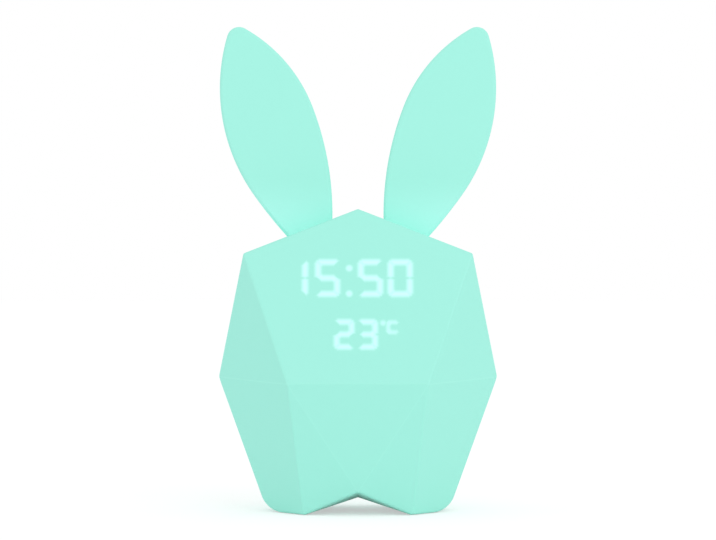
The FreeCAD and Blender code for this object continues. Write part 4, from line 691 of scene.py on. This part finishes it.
def model_screw(name):
    """A screw whose head bears at z 0 and looks up."""
    head = {"vertices": 40, "radius": HEAD_RADIUS, "depth": HEAD_TALL, "location": (0, 0, HEAD_TALL / 2)}
    item = start(bpy.ops.mesh.primitive_cylinder_add, name, **head)
    bpy.ops.object.transform_apply(location=True)
    pick(item, "EDGE", lambda middle, part: middle.z > HEAD_TALL * 0.9)
    bpy.ops.mesh.bevel(offset=HEAD_DOME, segments=5, profile=0.6)
    pick(item, "FACE", lambda middle, part: part.normal.z < -0.9)
    bpy.ops.mesh.inset(thickness=HEAD_RADIUS - SHANK_RADIUS)
    pitch = (SCREW_REACH - TIP_REACH) / THREAD_TURNS
    flare = THREAD_RADIUS / SHANK_RADIUS
    for turn in range(THREAD_TURNS):
        for step, scale in ((0.4, 1.0), (0.3, flare), (0.3, 1 / flare)):
            bpy.ops.mesh.extrude_region_move(TRANSFORM_OT_translate={"value": (0, 0, -pitch * step)})
            bpy.ops.transform.resize(value=(scale, scale, 1))
    bpy.ops.mesh.extrude_region_move(TRANSFORM_OT_translate={"value": (0, 0, -TIP_REACH)})
    bpy.ops.transform.resize(value=(TIP_SHARE, TIP_SHARE, 1))
    bpy.ops.object.mode_set(mode="OBJECT")
    for angle in (45, 135):
        blade = start(bpy.ops.mesh.primitive_cube_add, "recess_blade", size=1.0)
        blade.data.transform(Matrix.Diagonal((*RECESS_SIZE, 1)))
        pick(blade, "FACE", lambda middle, part: part.normal.z < -0.9)
        bpy.ops.transform.resize(value=RECESS_TAPER)
        bpy.ops.object.mode_set(mode="OBJECT")
        turned = Matrix.Rotation(math.radians(angle), 4, "Z")
        blade.data.transform(Matrix.Translation((0, 0, RECESS_UP)) @ turned)
        deselect_all()
        bpy.context.view_layer.objects.active = item
        recess = item.modifiers.new("recess", "BOOLEAN")
        recess.object = blade
        recess.operation = "DIFFERENCE"
        recess.solver = "EXACT"
        bpy.ops.object.modifier_apply(modifier=recess.name)
        bpy.data.objects.remove(blade)
    return item


first_screw = model_screw("case_screw_1")
screw_pieces = [first_screw] + [copy_of(first_screw, f"case_screw_{n}") for n in (2, 3, 4)]
facing_back = Matrix.Rotation(math.radians(-90), 4, "X")
for piece, (x, z) in zip(screw_pieces, SCREW_PLACES):
    place = Matrix.Translation((x * MM, SCREW_SEAT, z * MM)) @ facing_back
    finish_piece(piece, place, "clock", finishes["steel"])
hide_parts("case_screws")
print("screws modelled:", len(screw_pieces), "faces each:", len(first_screw.data.polygons))

# %% [markdown]
# The four keys carry raised marks that a finger can read: a ring for set, arrows for down and up,
# and a small sun for the light. Each mark is a flat outline that is extruded and slightly
# bevelled. It stands a quarter of a millimetre above its key and rides on it.

# %% Marks on the keys
KEY_TOP = 1.2 * MM
MARK_RISE = 0.25 * MM
MARK_SINK = 0.1 * MM
KEY_UP = 12.0 * MM
KEY_PLACES = {"set": -27.0, "down": -9.0, "up": 9.0, "light": 27.0}
MARK_RADIUS, RING_WIDTH, MARK_EDGE = 2.0 * MM, 0.6 * MM, 0.07 * MM
ARROW_ROUND = 0.45 * MM
SUN_RADIUS, RAY_COUNT = 0.9 * MM, 8
RAY_SIZE, RAY_MIDDLE = (0.75 * MM, 0.36 * MM), 1.75 * MM


def raise_outline(item):
    """Extrudes a flat outline into a mark with a bevelled top."""
    top = MARK_RISE + MARK_SINK
    pick(item, "FACE", lambda middle, part: True)
    bpy.ops.mesh.extrude_region_move(TRANSFORM_OT_translate={"value": (0, 0, top)})
    bpy.ops.mesh.select_all(action="SELECT")
    bpy.ops.mesh.normals_make_consistent(inside=False)
    bpy.ops.object.mode_set(mode="OBJECT")
    pick(item, "EDGE", lambda middle, part: abs(middle.z - top) < 1e-6 and borders_top(item, part, top))
    bpy.ops.mesh.bevel(offset=MARK_EDGE, segments=2)
    bpy.ops.object.mode_set(mode="OBJECT")


def borders_top(item, edge, top):
    """True where an edge joins a top face to a side face."""
    ends = set(edge.vertices)
    around = [face for face in item.data.polygons if ends <= set(face.vertices)]
    return any(abs(face.normal.z) < 0.5 for face in around)


def disc(name, corners, radius):
    return start(bpy.ops.mesh.primitive_circle_add, name, vertices=corners, radius=radius, fill_type="NGON")


def ring_mark(name):
    item = disc(name, 40, MARK_RADIUS)
    pick(item, "FACE", lambda middle, part: True)
    bpy.ops.mesh.inset(thickness=RING_WIDTH)
    bpy.ops.mesh.delete(type="FACE")
    bpy.ops.object.mode_set(mode="OBJECT")
    raise_outline(item)
    return item


def arrow_mark(name, way):
    item = disc(name, 3, MARK_RADIUS)
    item.data.transform(Matrix.Rotation(math.radians(0 if way > 0 else 180), 4, "Z"))
    pick(item, "FACE", lambda middle, part: True)
    bpy.ops.mesh.select_mode(type="VERT")
    bpy.ops.mesh.bevel(offset=ARROW_ROUND, segments=4, affect="VERTICES")
    bpy.ops.object.mode_set(mode="OBJECT")
    raise_outline(item)
    return item


def sun_mark(name):
    item = disc(name, 32, SUN_RADIUS)
    raise_outline(item)
    rays = []
    for n in range(RAY_COUNT):
        ray = start(bpy.ops.mesh.primitive_plane_add, f"{name}_ray_{n}", size=1.0)
        ray.data.transform(Matrix.Diagonal((*RAY_SIZE, 1, 1)))
        turned = Matrix.Rotation(n * 2 * math.pi / RAY_COUNT, 4, "Z")
        ray.data.transform(turned @ Matrix.Translation((RAY_MIDDLE, 0, 0)))
        raise_outline(ray)
        rays.append(ray)
    return join_all([item] + rays)


marks = {
    "set": ring_mark("set_mark"),
    "down": arrow_mark("down_mark", -1),
    "up": arrow_mark("up_mark", 1),
    "light": sun_mark("light_mark"),
}
finishes["mark"] = moulded("key mark", (96, 178, 160), 0.45, depth=0.004)
for key, mark in marks.items():
    place = on_rear_panel() @ Matrix.Translation((-KEY_PLACES[key] * MM, KEY_UP, KEY_TOP - MARK_SINK))
    finish_piece(mark, place, f"{key}_key", finishes["mark"])
print("marks:", {key: len(mark.data.polygons) for key, mark in marks.items()})

# %% [markdown]
# Inside the inlet a tongue carries the contacts. They are small flat springs, gilded against
# corrosion. Each pad is a bevelled strip, and a row of them stands on both faces.

# %% Inlet contacts
TONGUE_LEVEL, TONGUE_HALF = 70.4 * MM, 0.35 * MM
CONTACT_SIZE = (0.38 * MM, 3.6 * MM, 0.08 * MM)
CONTACT_PITCH, CONTACT_COUNT = 0.75 * MM, 8
CONTACT_DEPTH, CONTACT_EDGE = 22.4 * MM, 0.03 * MM


def model_contacts(name):
    pads = []
    for face in (1, -1):
        for n in range(CONTACT_COUNT):
            pad = start(bpy.ops.mesh.primitive_cube_add, f"{name}_{face}_{n}", size=1.0)
            pad.data.transform(Matrix.Diagonal((*CONTACT_SIZE, 1)))
            pick(pad, "EDGE", lambda middle, part: middle.z * face > CONTACT_SIZE[2] * 0.4)
            bpy.ops.mesh.bevel(offset=CONTACT_EDGE, segments=2)
            bpy.ops.object.mode_set(mode="OBJECT")
            x = (n - (CONTACT_COUNT - 1) / 2) * CONTACT_PITCH
            z = TONGUE_LEVEL + face * TONGUE_HALF
            pad.data.transform(Matrix.Translation((x, CONTACT_DEPTH, z)))
            pads.append(pad)
    joined = join_all(pads)
    joined.name = name
    return joined


contacts = model_contacts("inlet_contacts")
finishes["gilt"] = worked_metal("gilt contact", (226, 186, 104), (1.0, 0.1, 1.0), 0.25)
finish_piece(contacts, Matrix.Identity(4), "clock", finishes["gilt"])
print("contact faces:", len(contacts.data.polygons))

# %% [markdown]
# The table is one broad white plane. Seen by the camera a share of it is its own even white, so the
# background stays clean, and the rest is its real shading with a soft shadow. Light that bounces
# off it to the clock comes from the plain white surface.

# %% White table
FLOOR_HALF = 8.0
FLOOR_OWN_WHITE = 0.42
FLOOR_OWN_STRENGTH = 1.15
FLOOR_COLOUR = (0.965, 0.975, 0.975, 1.0)


def seen_straight(tree):
    """Is 1 where the camera, a mirror or a clear piece looks, and 0 for light that bounces."""
    seen = add_node(tree, "ShaderNodeLightPath").outputs
    kinds = ("Is Camera Ray", "Is Glossy Ray", "Is Transmission Ray")
    return chain(tree, "MAXIMUM", [seen[kind] for kind in kinds])


def white_table():
    grid = {"x_subdivisions": 8, "y_subdivisions": 8, "size": 2 * FLOOR_HALF}
    floor = start(bpy.ops.mesh.primitive_grid_add, "white_table", **grid)
    material, tree, shader = new_material("white table")
    add_grain(tree, shader, FLOOR_COLOUR, drift=0.0, roughness=0.9, spread=0.02, grain=300.0)
    shader.inputs["Specular IOR Level"].default_value = 0.0
    own = add_node(tree, "ShaderNodeEmission", Color=(1, 1, 1, 1), Strength=FLOOR_OWN_STRENGTH)
    straight = seen_straight(tree)
    mix = add_node(tree, "ShaderNodeMixShader")
    plug(tree, mix.inputs[0], maths(tree, "MULTIPLY", straight, FLOOR_OWN_WHITE))
    plug(tree, mix.inputs[1], shader.outputs[0])
    plug(tree, mix.inputs[2], own.outputs[0])
    plug(tree, tree.nodes["Material Output"].inputs["Surface"], mix.outputs[0])
    floor.data.materials.append(material)


white_table()
print("table side in metres:", 2 * FLOOR_HALF)

# %% [markdown]
# The light is very even: a pale dome all round, and one broad panel up on the right that makes
# the right facets a little brighter than the left ones.

# %% Light
AMBIENT = 0.93
PANEL_WATTS, PANEL_SIDE, PANEL_PLACE = 7.0, 1.6, (0.9, -1.6, 1.3)
AIM_LEVEL = 80.0 * MM


def white_dome():
    world = bpy.data.worlds.new("white studio")
    bpy.context.scene.world = world
    world.use_nodes = True
    tree = world.node_tree
    around = tree.nodes["Background"]
    around.inputs["Color"].default_value = (1, 1, 1, 1)
    around.inputs["Strength"].default_value = AMBIENT
    clear = add_node(tree, "ShaderNodeBackground", Color=(1, 1, 1, 1), Strength=1.0)
    mix = add_node(tree, "ShaderNodeMixShader")
    plug(tree, mix.inputs[0], seen_straight(tree))
    plug(tree, mix.inputs[1], around.outputs[0])
    plug(tree, mix.inputs[2], clear.outputs[0])
    plug(tree, tree.nodes["World Output"].inputs["Surface"], mix.outputs[0])


def light_panel(name, watts, size, place):
    lamp = bpy.data.lights.new(name, "AREA")
    lamp.energy = watts
    lamp.size = size
    item = bpy.data.objects.new(name, lamp)
    item.location = place
    aim = Vector((0, 0, AIM_LEVEL)) - Vector(place)
    item.rotation_euler = aim.to_track_quat("-Z", "Y").to_euler()
    bpy.context.scene.collection.objects.link(item)


white_dome()
light_panel("right_panel", PANEL_WATTS, PANEL_SIDE, PANEL_PLACE)
view_settings = bpy.context.scene.view_settings
view_settings.view_transform = "Standard"
print("ambient strength:", AMBIENT, "panel watts:", PANEL_WATTS)

# %% [markdown]
# The camera looks level from 1.22 m in front, at half the clock's height. Its long lens keeps the
# sides nearly parallel, as in the photograph.

# %% Camera
CAMERA_PLACE = (0.0, -1.220, 100.0 * MM)
LENS, SENSOR_WIDTH = 147.4, 36.0
FARTHEST = 60.0


def set_camera():
    data = bpy.data.cameras.new("portrait")
    data.sensor_width = SENSOR_WIDTH
    data.lens = LENS
    data.clip_end = FARTHEST
    item = bpy.data.objects.new("portrait", data)
    item.location = CAMERA_PLACE
    item.rotation_euler = (math.radians(90), 0, 0)
    bpy.context.scene.collection.objects.link(item)
    bpy.context.scene.camera = item


set_camera()
print("camera", CAMERA_PLACE, "lens", LENS)
